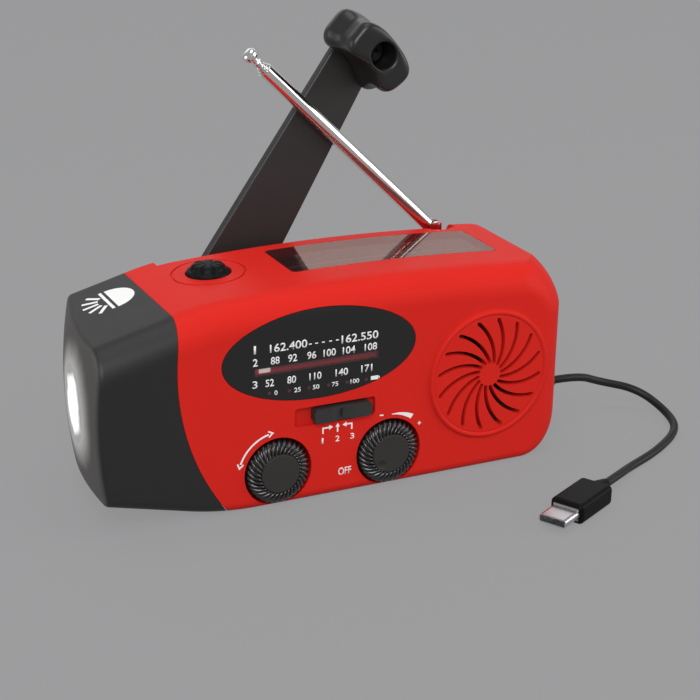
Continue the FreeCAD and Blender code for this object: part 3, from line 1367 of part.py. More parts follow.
def lead_route(points):
    """Straight runs joined by tangent arcs; gives the wire and its bend radii."""
    corners = [Vector(*point) for point in points]
    edges = []
    radii = []
    start = corners[0]
    for before, corner, after in zip(corners, corners[1:], corners[2:]):
        way_in = (corner - before).normalize()
        way_out = (after - corner).normalize()
        half_turn = 0.5 * way_in.getAngle(way_out)
        reach = 0.45 * min(corner.distanceToPoint(before), after.distanceToPoint(corner))
        radius = reach / math.tan(half_turn)
        arc_start = corner - way_in * reach
        arc_end = corner + way_out * reach
        inward = (way_out - way_in).normalize()
        middle = corner + inward * (radius / math.cos(half_turn) - radius)
        edges.append(Part.LineSegment(start, arc_start).toShape())
        edges.append(Part.Arc(arc_start, middle, arc_end).toShape())
        radii.append(round(radius, 1))
        start = arc_end
    edges.append(Part.LineSegment(start, corners[-1]).toShape())
    return Part.Wire(edges), radii


def usb_plug():
    """The stubby overmould in the side socket, with its metal blade."""
    deep = size("socket_deep")
    up = size("socket_up")
    body = block((69.9, deep - 3.5, up - 5.25), (77.2, deep + 3.5, up + 5.25))
    along = [edge for edge in body.Edges if abs(edge.tangentAt(edge.FirstParameter).x) > 0.9]
    body = body.makeFillet(1.8, along)
    relief = Part.makeCone(2.8, 1.6, 2.3, Vector(77.1, deep, up), ALONG_X)
    blade = block((63.0, deep - 1.15, up - 3.6), (70.0, deep + 1.15, up + 3.6))
    room = block((61.6, deep - 0.6, up - 3.0), (68.0, deep + 0.6, up + 3.0))
    return body.fuse([relief, blade.cut(room)])


def phone_plug():
    """The flat overmould at the free end, its blade and tapered relief."""
    relief = Part.makeCone(1.6, 2.7, 5.0, Vector(0, 0, 0), ALONG_X)
    body = block((4.6, -5.0, -2.9), (22.0, 5.0, 2.9))
    body = body.makeFillet(1.4, body.Edges)
    blade = block((21.0, -4.1, -1.25), (29.0, 4.1, 1.25))
    along = [edge for edge in blade.Edges if abs(edge.tangentAt(edge.FirstParameter).x) > 0.9]
    blade = blade.makeFillet(1.1, along)
    room = block((23.6, -3.7, -0.85), (30.0, 3.7, 0.85))
    shape = body.fuse([relief, blade.cut(room)])
    end = Vector(*LEAD[-1])
    heading = end - Vector(*LEAD[-2])
    turn = Rotation(ALONG_Z, math.degrees(math.atan2(heading.y, heading.x)))
    return settled(shape, Placement(end, turn))


lead_wire, lead_radii = lead_route(LEAD)
lead_start = Vector(*LEAD[0])
lead_heading = Vector(*LEAD[1]) - lead_start
lead_ring = Part.Wire([Part.makeCircle(0.5 * size("lead_diameter"), lead_start, lead_heading)])
lead_solid = lead_wire.makePipeShell([lead_ring], True, False)
shaped("usb_cable", lead_solid)
shaped("usb_plug", usb_plug())
shaped("phone_plug", phone_plug())


# Checks and export

doc.recompute()
for item in doc.Objects:
    trouble = {"Invalid", "Error"} & set(item.State)
    if trouble:
        raise RuntimeError("%s: %s" % (item.Name, sorted(trouble)))
os.makedirs("parts", exist_ok=True)
for thing in subparts:
    shape = thing.Shape
    if shape.isNull() or not shape.isValid():
        raise RuntimeError("bad shape: " + thing.Label)
    shape.exportStep("parts/%s.step" % thing.Label)
    print("%-18s %9.1f mm3  %d solid(s)" % (thing.Label, shape.Volume, len(shape.Solids)))

lead_area = math.pi * (0.5 * size("lead_diameter")) ** 2
expected = lead_area * lead_wire.Length
print("lead bends mm:", lead_radii)
print("lead volume %.1f against %.1f, length %.1f mm" % (lead_solid.Volume, expected, lead_wire.Length))
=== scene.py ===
import math

import bmesh
import bpy
from mathutils import Matrix, Vector
from mathutils.bvhtree import BVHTree


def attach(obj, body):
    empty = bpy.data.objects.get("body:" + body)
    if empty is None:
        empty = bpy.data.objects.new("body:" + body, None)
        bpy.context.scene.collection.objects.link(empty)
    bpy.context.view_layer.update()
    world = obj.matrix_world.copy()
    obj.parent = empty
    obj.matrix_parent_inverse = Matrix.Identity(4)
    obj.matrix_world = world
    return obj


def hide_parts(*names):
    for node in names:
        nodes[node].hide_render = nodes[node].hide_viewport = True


# Hand-cranked weather radio: finishes, knobs, dial print, lead, floor and light.
# Metres, +Z up, front face towards -Y, torch towards -X.

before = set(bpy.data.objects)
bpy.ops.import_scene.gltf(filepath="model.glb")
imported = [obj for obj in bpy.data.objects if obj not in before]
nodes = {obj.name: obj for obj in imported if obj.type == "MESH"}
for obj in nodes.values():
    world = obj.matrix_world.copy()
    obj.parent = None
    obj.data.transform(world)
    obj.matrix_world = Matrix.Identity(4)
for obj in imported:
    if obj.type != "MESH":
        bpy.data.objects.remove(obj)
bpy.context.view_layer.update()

MM = 0.001
FRONT = -22.5 * MM


def mm(*values):
    return Vector(value * MM for value in values)


# Camera

IMAGE_WIDTH = 700
FOCAL_PIXELS = 1792.2
SENSOR = 36.0
EYE = mm(-194.89, -423.90, 213.23)
LOOK_RIGHT = Vector((0.90135, -0.43280, 0.01598))
LOOK_UP = Vector((0.14140, 0.32895, 0.93370))
LOOK_AHEAD = Vector((0.40936, 0.83933, -0.35769))


def place_camera():
    lens = bpy.data.cameras.new("camera")
    lens.sensor_width = SENSOR
    lens.lens = SENSOR * FOCAL_PIXELS / IMAGE_WIDTH
    lens.clip_start = 0.01
    camera = bpy.data.objects.new("camera", lens)
    turn = Matrix((LOOK_RIGHT, LOOK_UP, -LOOK_AHEAD)).transposed().to_4x4()
    camera.matrix_world = Matrix.Translation(EYE) @ turn
    bpy.context.scene.collection.objects.link(camera)
    bpy.context.scene.camera = camera


place_camera()


# Shader building

class Wire:
    """A node's output; arithmetic on it adds Math nodes."""

    def __init__(self, finish, socket):
        self.finish = finish
        self.socket = socket

    def math(self, operation, first, second):
        return self.finish.add("ShaderNodeMath", {"operation": operation}, {0: first, 1: second})

    def __add__(self, other):
        return self.math("ADD", self, other)

    __radd__ = __add__

    def __sub__(self, other):
        return self.math("SUBTRACT", self, other)

    def __rsub__(self, other):
        return self.math("SUBTRACT", other, self)

    def __mul__(self, other):
        return self.math("MULTIPLY", self, other)

    __rmul__ = __mul__

    def __abs__(self):
        return self.finish.add("ShaderNodeMath", {"operation": "ABSOLUTE"}, {0: self})

    def at_most(self, other):
        return self.math("MINIMUM", self, other)

    def rising(self, low, high):
        """0 below low, 1 above high, smooth between."""
        return self.finish.add("ShaderNodeMapRange", {"interpolation_type": "SMOOTHSTEP"},
                               {"Value": self, "From Min": low, "From Max": high})

    def between(self, low, high, edge):
        """1 from low to high, 0 outside, smooth over the edge's half width each way."""
        return self.rising(low - edge, low + edge) * (1.0 - self.rising(high - edge, high + edge))


class Finish:
    """The shader nodes of a material or of the world."""

    def __init__(self, owner):
        owner.use_nodes = True
        self.owner = owner
        self.tree = owner.node_tree
        self.tree.nodes.clear()

    def add(self, kind, settings=None, sockets=None, output=0):
        node = self.tree.nodes.new(kind)
        for name, value in (settings or {}).items():
            setattr(node, name, value)
        for name, value in (sockets or {}).items():
            if isinstance(value, Wire):
                self.tree.links.new(value.socket, node.inputs[name])
            else:
                node.inputs[name].default_value = value
        return Wire(self, node.outputs[output])

    def place(self):
        return self.add("ShaderNodeTexCoord", output=3)

    def axes(self, place):
        """The three coordinates of a place, as numbers."""
        split = self.add("ShaderNodeSeparateXYZ", None, {"Vector": place})
        return [Wire(self, output) for output in split.socket.node.outputs]

    def vector(self, operation, first, second, output=0):
        return self.add("ShaderNodeVectorMath", {"operation": operation}, {0: first, 1: second}, output)

    def distance(self, place, center):
        return self.vector("DISTANCE", place, center, output=1)

    def noise(self, place, scale, detail=3.0):
        return self.add("ShaderNodeTexNoise", None, {"Vector": place, "Scale": scale, "Detail": detail})

    def blend(self, factor, first, second):
        return self.add("ShaderNodeMix", {"data_type": "RGBA"}, {0: factor, 6: first, 7: second}, output=2)

    def bump(self, height, distance, strength=1.0):
        sockets = {"Height": height, "Distance": distance, "Strength": strength}
        return self.add("ShaderNodeBump", None, sockets)

    def direct_rays(self):
        """1 for what the camera, metal and glass see."""
        rays = self.add("ShaderNodeLightPath").socket.node.outputs
        camera, glossy, through = [Wire(self, rays["Is " + kind + " Ray"])
                                   for kind in ("Camera", "Glossy", "Transmission")]
        return (camera + glossy + through).at_most(1.0)

    def surface(self, sockets):
        return self.finished(self.add("ShaderNodeBsdfPrincipled", None, sockets))

    def finished(self, shader, output_kind="ShaderNodeOutputMaterial"):
        output = self.tree.nodes.new(output_kind)
        self.tree.links.new(shader.socket, output.inputs["Surface"])
        return self.owner


def new_finish(name):
    return Finish(bpy.data.materials.new(name))


def rgb(red, green, blue):
    return (red, green, blue, 1.0)


def shaded(colour, amount):
    return rgb(*(channel * amount for channel in colour[:3]))


GRAIN_SCALE = 2600.0
CLOUD_SCALE = 90.0


def moulded(name, colour, roughness, grain=0.00001, coat=0.0, drift=0.08, shine=0.5):
    """Moulded plastic: a fine grain and a slow drift in colour and gloss."""
    finish = new_finish(name)
    place = finish.place()
    cloud = finish.noise(place, CLOUD_SCALE)
    speckle = finish.noise(place, GRAIN_SCALE, 2.0)
    return finish.surface({
        "Base Color": finish.blend(cloud, shaded(colour, 1.0 - drift), shaded(colour, 1.0 + drift)),
        "Roughness": roughness - 0.05 + 0.1 * cloud,
        "Specular IOR Level": shine,
        "Coat Weight": coat,
        "Coat Roughness": 0.12,
        "Normal": finish.bump(speckle, grain),
    })


def metal(name, colour, roughness, brushed=0.0):
    """Plated or turned metal with faint marks in its polish."""
    finish = new_finish(name)
    place = finish.place()
    marks = finish.noise(place, 700.0, 4.0)
    return finish.surface({
        "Base Color": finish.blend(marks, shaded(colour, 0.92), colour),
        "Metallic": 1.0,
        "Roughness": roughness - 0.02 + 0.04 * marks,
        "Normal": finish.bump(marks, brushed, 0.4),
    })


RED = rgb(0.61, 0.020, 0.014)
TORCH_GREY = rgb(0.0125, 0.0115, 0.0115)
LENS_AT = mm(-69.5, -0.5, 30.0)
# Centre and reach of the painted paler sheen on the torch's domed end.
NOSE_SHEEN_CENTER = mm(44.6, -12.9, 30.0)
NOSE_SHEEN_REACH = (114.1 * MM, 115.0 * MM)
# Reach of the painted glow of spilled lamp light round the lens.
PAINTED_SPILL_REACH = (11.0 * MM, 21.0 * MM)
GLOW_REACH = (9.5 * MM, 13.0 * MM)
STREAK_STRETCH = (1.0, 3.5, 0.7)


def torch_shell_with_painted_light():
    """Dark shell; its domed end has a painted paler sheen in its colour and a painted glow of spilled lamp
    light round the lens.
    """
    finish = new_finish("torch_shell_with_painted_light")
    place = finish.place()
    speckle = finish.noise(place, GRAIN_SCALE, 2.0)
    cloud = finish.noise(place, CLOUD_SCALE)
    # Painted sheen mask: paler towards the domed end.
    painted_nose_sheen = finish.distance(place, NOSE_SHEEN_CENTER).rising(*NOSE_SHEEN_REACH)
    reach = finish.distance(place, LENS_AT) + 0.004 * cloud
    # Painted glow of spilled lamp light: strongest by the lens on the domed end, fading away from it.
    painted_spill = painted_nose_sheen * (1.0 - reach.rising(*PAINTED_SPILL_REACH))
    return finish.surface({
        # Painted sheen: the domed end's colour is paler than the rest of the shell.
        "Base Color": finish.blend(painted_nose_sheen, TORCH_GREY, rgb(0.062, 0.058, 0.055)),
        "Roughness": 0.44 + 0.1 * cloud,
        "Specular IOR Level": 0.42,
        # Painted glow: the shell is no lamp, yet emits spilled lamp light round the lens.
        "Emission Color": finish.blend(painted_spill, rgb(0, 0, 0), rgb(0.34, 0.335, 0.33)),
        "Emission Strength": 1.0,
        "Normal": finish.bump(speckle, 0.000016),
    })


def lit_lens():
    """Clear dome over the lit lamps: an uneven bright middle with streaks."""
    finish = new_finish("lit_lens")
    place = finish.place()
    spread = finish.noise(place, 170.0, 2.0)
    streaks = finish.noise(finish.vector("MULTIPLY", place, STREAK_STRETCH), 420.0, 2.0)
    reach = finish.distance(place, LENS_AT) + 0.007 * spread
    middle = 1.0 - reach.rising(*GLOW_REACH)
    glow = (middle * (0.62 + 0.8 * streaks)).at_most(1.0)
    return finish.surface({
        "Base Color": rgb(0.30, 0.30, 0.295),
        "Roughness": 0.10 + 0.06 * spread,
        "Emission Color": finish.blend(glow, rgb(0.10, 0.10, 0.098), rgb(0.90, 0.91, 0.92)),
        "Emission Strength": 1.0,
    })


def solar_window():
    """Clear glossy strip with a warm haze; the cell below it shows through."""
    finish = new_finish("solar_window")
    place = finish.place()
    haze = finish.noise(place, 60.0)
    return finish.surface({
        "Base Color": finish.blend(haze, rgb(0.014, 0.003, 0.004), rgb(0.032, 0.008, 0.010)),
        "Roughness": 0.03 + 0.03 * haze,
        "IOR": 3.8,
        "Specular Tint": rgb(1.0, 0.66, 0.60),
        "Alpha": 0.54 + 0.12 * haze,
    })


CELL_MIDDLE = 5.1 * MM
BAR_HALF = (0.35 * MM, 0.5 * MM)


def solar_cell():
    """Dark silicon with fine grid lines and one silver bar along the middle."""
    finish = new_finish("solar_cell")
    place = finish.place()
    deep = finish.axes(place)[1]
    waves = {"Vector": place, "Scale": 160.0}
    fingers = finish.add("ShaderNodeTexWave", {"bands_direction": "X"}, waves, output=1)
    tint = finish.noise(place, 300.0)
    bar = 1.0 - abs(deep - CELL_MIDDLE).rising(*BAR_HALF)
    lines = (fingers.rising(0.93, 0.98) * 0.25 + bar).at_most(1.0)
    dark = finish.blend(tint, rgb(0.018, 0.006, 0.010), rgb(0.034, 0.012, 0.018))
    return finish.surface({
        "Base Color": finish.blend(lines, dark, rgb(0.62, 0.56, 0.55)),
        "Roughness": 0.22 + 0.1 * tint,
    })


SLOT_UP = 39.75 * MM
SLOT_LEFT = -26.6 * MM
SLOT_RIGHT = 9.3 * MM
SLOT_HALF = (0.92 * MM, 1.06 * MM)
SLOT_BLUR = 0.1 * MM


def dial_black():
    """Glossy black window, clear but tinted along the pointer's slot."""
    finish = new_finish("dial_black")
    place = finish.place()
    across, _, up = finish.axes(place)
    cloud = finish.noise(place, CLOUD_SCALE)
    level = 1.0 - abs(up - SLOT_UP).rising(*SLOT_HALF)
    slot = level * across.between(SLOT_LEFT, SLOT_RIGHT, SLOT_BLUR)
    return finish.surface({
        "Base Color": finish.blend(slot, rgb(0.006, 0.0055, 0.006), rgb(0.20, 0.070, 0.080)),
        "Roughness": 0.20 + 0.06 * cloud,
        "Alpha": 1.0 - 0.66 * slot,
        "Coat Weight": 0.2,
        "Coat Roughness": 0.1,
    })


def painted_glow_pointer():
    """The white pointer, with a painted glow that keeps it bright in the shade of the slot."""
    finish = new_finish("painted_glow_pointer")
    place = finish.place()
    cloud = finish.noise(place, 900.0)
    return finish.surface({
        "Base Color": finish.blend(cloud, rgb(0.74, 0.72, 0.70), rgb(0.80, 0.78, 0.76)),
        "Roughness": 0.4 + 0.1 * cloud,
        # Painted glow: the pointer is no lamp.
        "Emission Color": finish.blend(cloud, rgb(0.68, 0.66, 0.64), rgb(0.74, 0.72, 0.70)),
        "Emission Strength": 1.0,
    })


PLUG_FACE = mm(46.13, -62.33, 3.2)
PLUG_AHEAD = Vector((-0.8805, -0.4741, 0.0))
STEEL_EDGE = 0.05 * MM


def plug_rubber():
    """The plug: a rubber body, and steel from its face to its tip."""
    finish = new_finish("plug_rubber")
    place = finish.place()
    speckle = finish.noise(place, GRAIN_SCALE, 2.0)
    offset = finish.vector("SUBTRACT", place, PLUG_FACE)
    steel = finish.vector("DOT_PRODUCT", offset, PLUG_AHEAD, output=1).rising(-STEEL_EDGE, STEEL_EDGE)
    return finish.surface({
        "Base Color": finish.blend(steel, rgb(0.0035, 0.0035, 0.0038), rgb(0.60, 0.60, 0.61)),
        "Metallic": steel,
        "Specular IOR Level": 0.08,
        "Roughness": 0.42 - 0.16 * steel + 0.04 * speckle,
        "Normal": finish.bump(speckle, 0.000008),
    })


def speaker_cloth_painted_bounce():
    """Woven cloth behind the grille, coloured dark red as painted light bounced from the red case, instead
    of its own black.
    """
    finish = new_finish("speaker_cloth_painted_bounce")
    place = finish.place()
    weave = finish.add("ShaderNodeTexChecker", None, {"Vector": place, "Scale": 1600.0}, output=1)
    return finish.surface({
        # Painted bounce light: a dark red tint in place of the cone's black.
        "Base Color": finish.blend(weave, rgb(0.030, 0.004, 0.004), rgb(0.060, 0.008, 0.008)),
        "Roughness": 0.85 + 0.1 * weave,
        "Normal": finish.bump(weave, 0.00005),
    })


def circuit_board():
    """Green board with copper lines under its lacquer."""
    finish = new_finish("circuit_board")
    place = finish.place()
    tracks = finish.add("ShaderNodeTexBrick", None, {"Vector": place, "Scale": 190.0}, output=1)
    return finish.surface({
        "Base Color": finish.blend(tracks, rgb(0.012, 0.11, 0.04), rgb(0.03, 0.20, 0.075)),
        "Roughness": 0.3 + 0.15 * tracks,
    })


def ink(name, colour):
    """Printed ink, a little uneven."""
    finish = new_finish(name)
    place = finish.place()
    wear = finish.noise(place, 1500.0)
    return finish.surface({
        "Base Color": finish.blend(wear, shaded(colour, 0.94), colour),
        "Roughness": 0.5 + 0.1 * wear,
    })


FINISHES = {
    "red": moulded("red_shell", RED, 0.42, 0.000005, drift=0.03, shine=0.04),
    "torch": torch_shell_with_painted_light(),
    "lens": lit_lens(),
    "window": dial_black(),
    "solar": solar_window(),
    "cell": solar_cell(),
    "matte": moulded("knob_disc", rgb(0.027, 0.0235, 0.023), 0.66, 0.000014, shine=0.3),
    "ribs": moulded("knob_ribs", rgb(0.007, 0.007, 0.0075), 0.28, 0.000003, coat=0.5, shine=0.6),
    "button": moulded("button_black", rgb(0.005, 0.005, 0.005), 0.46, 0.000004, shine=0.10),
    "slider": moulded("slider_black", rgb(0.020, 0.021, 0.021), 0.50, 0.00003),
    "arm": moulded("crank_black", rgb(0.020, 0.018, 0.0175), 0.42, 0.000014),
    "grip": moulded("grip_black", rgb(0.010, 0.0095, 0.0095), 0.36, 0.000008),
    "black": moulded("hidden_black", rgb(0.03, 0.03, 0.031), 0.55),
    "rubber": moulded("lead_black", rgb(0.007, 0.007, 0.0073), 0.50, 0.000008, shine=0.3),
    "plug": plug_rubber(),
    "nylon": moulded("gear_nylon", rgb(0.72, 0.70, 0.63), 0.4),
    "pointer": painted_glow_pointer(),
    "battery": moulded("battery_sleeve", rgb(0.09, 0.14, 0.24), 0.35, coat=0.3),
    "ferrite": moulded("ferrite_dark", rgb(0.05, 0.047, 0.045), 0.7, 0.00003),
    "lamp": moulded("lamp_clear", rgb(0.78, 0.80, 0.74), 0.12, 0.0, coat=0.6),
    "chrome": metal("chrome", rgb(0.86, 0.86, 0.85), 0.13),
    "steel": metal("steel", rgb(0.56, 0.56, 0.57), 0.28, 0.000003),
    "cloth": speaker_cloth_painted_bounce(),
    "board": circuit_board(),
    "print": ink("print_white", rgb(0.86, 0.86, 0.85)),
    "lamp_red": ink("lamp_red", rgb(0.075, 0.018, 0.018)),
}

NODE_FINISH = {
    "red": ["front_case", "rear_case", "battery_door"],
    "slider": ["band_slider"],
    "torch": ["torch_head"],
    "lens": ["torch_lens"],
    "window": ["dial_window"],
    "solar": ["solar_cover"],
    "cell": ["solar_cell"],
    "pointer": ["dial_pointer"],
    "arm": ["crank_arm", "crank_hub"],
    "grip": ["crank_knob", "knob_screw"],
    "plug": ["phone_plug"],
    "black": ["speaker_frame", "gear_plate", "tuning_capacitor", "band_switch", "torch_switch",
              "radio_chips"],
    "rubber": ["usb_plug"],
    "nylon": ["tuning_gear", "drive_gear", "idler_gear"],
    "battery": ["battery"],
    "ferrite": ["ferrite_rod"],
    "lamp": ["torch_lamps", "indicator_lamps"],
    "chrome": ["torch_reflector", "aerial_base", "aerial_tube_1", "aerial_tube_2", "aerial_tube_3",
               "aerial_tube_4", "aerial_rod"],
    "steel": ["tuning_shaft", "volume_shaft", "volume_control", "aerial_pin", "hinge_pin",
              "crank_shaft", "idler_axle", "rotor_gear", "generator", "plate_screws", "case_screws",
              "speaker_magnet", "usb_socket"],
    "cloth": ["speaker_cone"],
    "board": ["torch_board", "main_board", "indicator_board", "charge_board"],
}

for finish_name, node_names in NODE_FINISH.items():
    for node_name in node_names:
        mesh = nodes[node_name].data
        mesh.materials.clear()
        mesh.materials.append(FINISHES[finish_name])


# Mesh building

def piece(name, mesh, body, slot_name, *replaced):
    """Link a finished mesh as a piece that rides on a body."""
    thing = bpy.data.objects.new(name, mesh)
    bpy.context.scene.collection.objects.link(thing)
    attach(thing, body)
    if replaced:
        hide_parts(*replaced)
    return thing


def mesh_from(build, name, *finishes):
    """The mesh that a builder fills, with its normals turned outwards."""
    work = bmesh.new()
    build(work)
    bmesh.ops.remove_doubles(work, verts=work.verts, dist=1e-7)
    bmesh.ops.recalc_face_normals(work, faces=work.faces)
    mesh = bpy.data.meshes.new(name)
    work.to_mesh(mesh)
    work.free()
    for finish_name in finishes:
        mesh.materials.append(FINISHES[finish_name])
    return mesh


def turned(work, outline, steps, shape=None):
    """Turn an outline of (radius, height) points about Z, closed on the axis."""
    rings = []
    for radius, height in outline:
        ring = []
        for step in range(steps if radius > 0 else 1):
            turn = 2 * math.pi * step / steps
            place = Vector((radius * math.cos(turn), radius * math.sin(turn), height))
            ring.append(work.verts.new(shape(place, turn) if shape else place))
        rings.append(ring)
    for inner, outer in zip(rings, rings[1:]):
        for step in range(steps):
            following = (step + 1) % steps
            corners = [inner[step % len(inner)], outer[step % len(outer)],
                       outer[following % len(outer)], inner[following % len(inner)]]
            corners = [corner for number, corner in enumerate(corners) if corner not in corners[:number]]
            if len(corners) > 2:
                work.faces.new(corners).smooth = True


def moved(mesh, matrix):
    mesh.transform(matrix)
    return mesh


def settled(holder):
    """The plain mesh that a working object gives, and the object removed."""
    graph = bpy.context.evaluated_depsgraph_get()
    mesh = bpy.data.meshes.new_from_object(holder.evaluated_get(graph), depsgraph=graph)
    bpy.data.objects.remove(holder)
    return mesh


def facing_front(center):
    """Local Z towards the front (-Y), local Y up, at a place in millimetres."""
    turn = Matrix(((1, 0, 0), (0, 0, -1), (0, 1, 0))).to_4x4()
    return Matrix.Translation(mm(*center)) @ turn


# Charging lead

LEAD_ROUTE = [(79.4, -0.9, 13.0), (88.5, -0.9, 13.0), (97.0, 0.8, 9.2), (109.1, -2.7, 6.1),
              (113.1, -13.2, 1.95), (109.1, -24.8, 1.25), (94.6, -35.3, 1.25), (80.0, -42.0, 1.25),
              (73.3, -47.7, 3.1), (65.5, -51.9, 3.2)]
LEAD_DIAMETER = 2.4 * MM


def charging_lead():
    curve = bpy.data.curves.new("charging_lead", "CURVE")
    curve.dimensions = "3D"
    curve.resolution_u = 16
    curve.bevel_depth = 0.5 * LEAD_DIAMETER
    curve.bevel_resolution = 6
    spline = curve.splines.new("NURBS")
    spline.points.add(len(LEAD_ROUTE) - 1)
    for point, place in zip(spline.points, LEAD_ROUTE):
        point.co = (*mm(*place), 1.0)
    spline.order_u = 3
    spline.use_endpoint_u = True
    curve.materials.append(FINISHES["rubber"])
    lead = bpy.data.objects.new("charging_lead", curve)
    bpy.context.scene.collection.objects.link(lead)
    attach(lead, "case")
    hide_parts("usb_cable")
    tuple(mm(*LEAD_ROUTE[0]))


charging_lead()


# Ribbed thumb knobs

TUNING_AT = (-19.9, 10.4)
VOLUME_AT = (13.2, 10.4)
VOLUME_DIMPLE = Vector((-2.9, -3.1))
KNOB_FRONT = 1.9
KNOB_BACK = -3.6
KNOB_RADIUS = 9.4
DISC_RADIUS = 5.5
KNOB_STEPS = 136
DIMPLE_RADIUS = 1.5
DIMPLE_DEPTH = 0.55
RIB_COUNT = 34
RIB_SWEEP = math.radians(20.0)
RIB_STANCE = 0.9
RIB_PATH = [(DISC_RADIUS + 0.1, KNOB_FRONT - 0.3), (6.4, KNOB_FRONT - 0.36), (7.4, KNOB_FRONT - 0.6),
            (8.15, KNOB_FRONT - 1.1), (8.7, KNOB_FRONT - 1.9), (8.95, KNOB_FRONT - 2.8),
            (9.0, KNOB_BACK + 0.4)]
RIB_SECTION = [(-0.48, -0.55), (-0.36, 0.0), (-0.2, 0.3), (0.0, 0.42), (0.2, 0.3), (0.36, 0.0),
               (0.48, -0.55)]


def rib_row(work, number):
    """The section of a rib at one point of its path, swept on round the knob."""
    last = len(RIB_PATH) - 1
    radius, height = RIB_PATH[number]
    turn = RIB_SWEEP * (1.0 - number / last) ** 1.4
    ahead = Vector(RIB_PATH[min(number + 1, last)])
    behind = Vector(RIB_PATH[max(number - 1, 0)])
    slope = (ahead - behind).normalized()
    width = 2 * math.pi * radius / RIB_COUNT
    row = []
    for across, lift in RIB_SECTION:
        out = radius - slope.y * lift * RIB_STANCE
        high = height + slope.x * lift * RIB_STANCE
        swing = turn + across * width / radius
        row.append(work.verts.new(mm(out * math.cos(swing), out * math.sin(swing), high)))
    return row


def rib_mesh():
    """One rib: a rounded ridge that sweeps from the disc's edge to the side."""
    def build(work):
        rows = [rib_row(work, number) for number in range(len(RIB_PATH))]
        for first, second in zip(rows, rows[1:]):
            for low, high in zip(range(len(first)), range(1, len(first))):
                work.faces.new((first[low], first[high], second[high], second[low])).smooth = True
            work.faces.new((first[0], second[0], second[-1], first[-1]))
        work.faces.new(rows[0])
        work.faces.new(rows[-1][::-1])

    return mesh_from(build, "rib", "ribs")


def ring_tree():
    """Geometry nodes that set copies of a shape round local Z."""
    tree = bpy.data.node_groups.new("ring_of_copies", "GeometryNodeTree")
    tree.interface.new_socket("Geometry", in_out="INPUT", socket_type="NodeSocketGeometry")
    tree.interface.new_socket("Count", in_out="INPUT", socket_type="NodeSocketInt")
    tree.interface.new_socket("Finish", in_out="INPUT", socket_type="NodeSocketMaterial")
    tree.interface.new_socket("Geometry", in_out="OUTPUT", socket_type="NodeSocketGeometry")
    start = tree.nodes.new("NodeGroupInput")
    end = tree.nodes.new("NodeGroupOutput")
    points = tree.nodes.new("GeometryNodePoints")
    index = tree.nodes.new("GeometryNodeInputIndex")
    share = tree.nodes.new("ShaderNodeMath")
    share.operation = "DIVIDE"
    turn = tree.nodes.new("ShaderNodeMath")
    turn.operation = "MULTIPLY"
    turn.inputs[1].default_value = 2 * math.pi
    angles = tree.nodes.new("ShaderNodeCombineXYZ")
    copies = tree.nodes.new("GeometryNodeInstanceOnPoints")
    real = tree.nodes.new("GeometryNodeRealizeInstances")
    paint = tree.nodes.new("GeometryNodeSetMaterial")
    links = tree.links
    links.new(start.outputs["Count"], points.inputs["Count"])
    links.new(index.outputs[0], share.inputs[0])
    links.new(start.outputs["Count"], share.inputs[1])
    links.new(share.outputs[0], turn.inputs[0])
    links.new(turn.outputs[0], angles.inputs["Z"])
    links.new(points.outputs[0], copies.inputs["Points"])
    links.new(start.outputs["Geometry"], copies.inputs["Instance"])
    links.new(angles.outputs[0], copies.inputs["Rotation"])
    links.new(copies.outputs[0], real.inputs[0])
    links.new(real.outputs[0], paint.inputs["Geometry"])
    links.new(start.outputs["Finish"], paint.inputs["Material"])
    links.new(paint.outputs[0], end.inputs[0])
    return tree


RING_TREE = ring_tree()


def copied_round(mesh, count, finish_name):
    """The plain mesh of a shape repeated round local Z."""
    holder = bpy.data.objects.new("ring_work", mesh)
    bpy.context.scene.collection.objects.link(holder)
    modifier = holder.modifiers.new("ring", "NODES")
    modifier.node_group = RING_TREE
    inputs = [item for item in RING_TREE.interface.items_tree if item.in_out == "INPUT"]
    names = {item.name: item.identifier for item in inputs}
    modifier[names["Count"]] = count
    modifier[names["Finish"]] = FINISHES[finish_name]
    return settled(holder)


def knob_mesh(name, dimple_at=None):
    """Disc, sloping core and ribs of one knob, in local axes."""
    side = KNOB_RADIUS - 0.6
    core = [(0, KNOB_BACK), (side, KNOB_BACK), (side, KNOB_FRONT - 2.8), (side - 0.3, KNOB_FRONT - 2.0),
            (side - 0.9, KNOB_FRONT - 1.25), (side - 1.9, KNOB_FRONT - 0.75),
            (DISC_RADIUS + 0.15, KNOB_FRONT - 0.6), (DISC_RADIUS + 0.05, KNOB_FRONT - 0.15)]
    disc = [(DISC_RADIUS + 0.05, KNOB_FRONT - 0.15), (DISC_RADIUS - 0.1, KNOB_FRONT - 0.02),
            (DISC_RADIUS - 0.4, KNOB_FRONT)]
    disc += [(4.9 - 0.35 * ring, KNOB_FRONT) for ring in range(14)]
    disc.append((0, KNOB_FRONT))

    def dished(place, turn):
        if dimple_at is None:
            return place
        away = (Vector((place.x, place.y)) - dimple_at).length / DIMPLE_RADIUS
        return place - Vector((0, 0, DIMPLE_DEPTH * max(0.0, 1.0 - away * away)))

    def build(work):
        turned(work, core, KNOB_STEPS)
        core_faces = len(work.faces)
        turned(work, disc, KNOB_STEPS, dished)
        work.faces.ensure_lookup_table()
        for face in work.faces[core_faces:]:
            face.material_index = 1
        for corner in work.verts:
            corner.co *= MM

    body = mesh_from(build, name, "ribs", "matte")
    ribs = copied_round(rib_mesh(), RIB_COUNT, "ribs")
    joined = bmesh.new()
    joined.from_mesh(body)
    joined.from_mesh(ribs)
    joined.to_mesh(body)
    joined.free()
    return body


def knob(name, center, body, node, dimple_at=None):
    across, up = center
    mesh = moved(knob_mesh(name, dimple_at), facing_front((across, FRONT / MM, up)))
    piece(name, mesh, body, "black_gloss", node)


knob("tuning_thumb_knob", TUNING_AT, "tuning", "tuning_knob")
knob("volume_thumb_knob", VOLUME_AT, "volume", "volume_knob", VOLUME_DIMPLE)


# Torch button

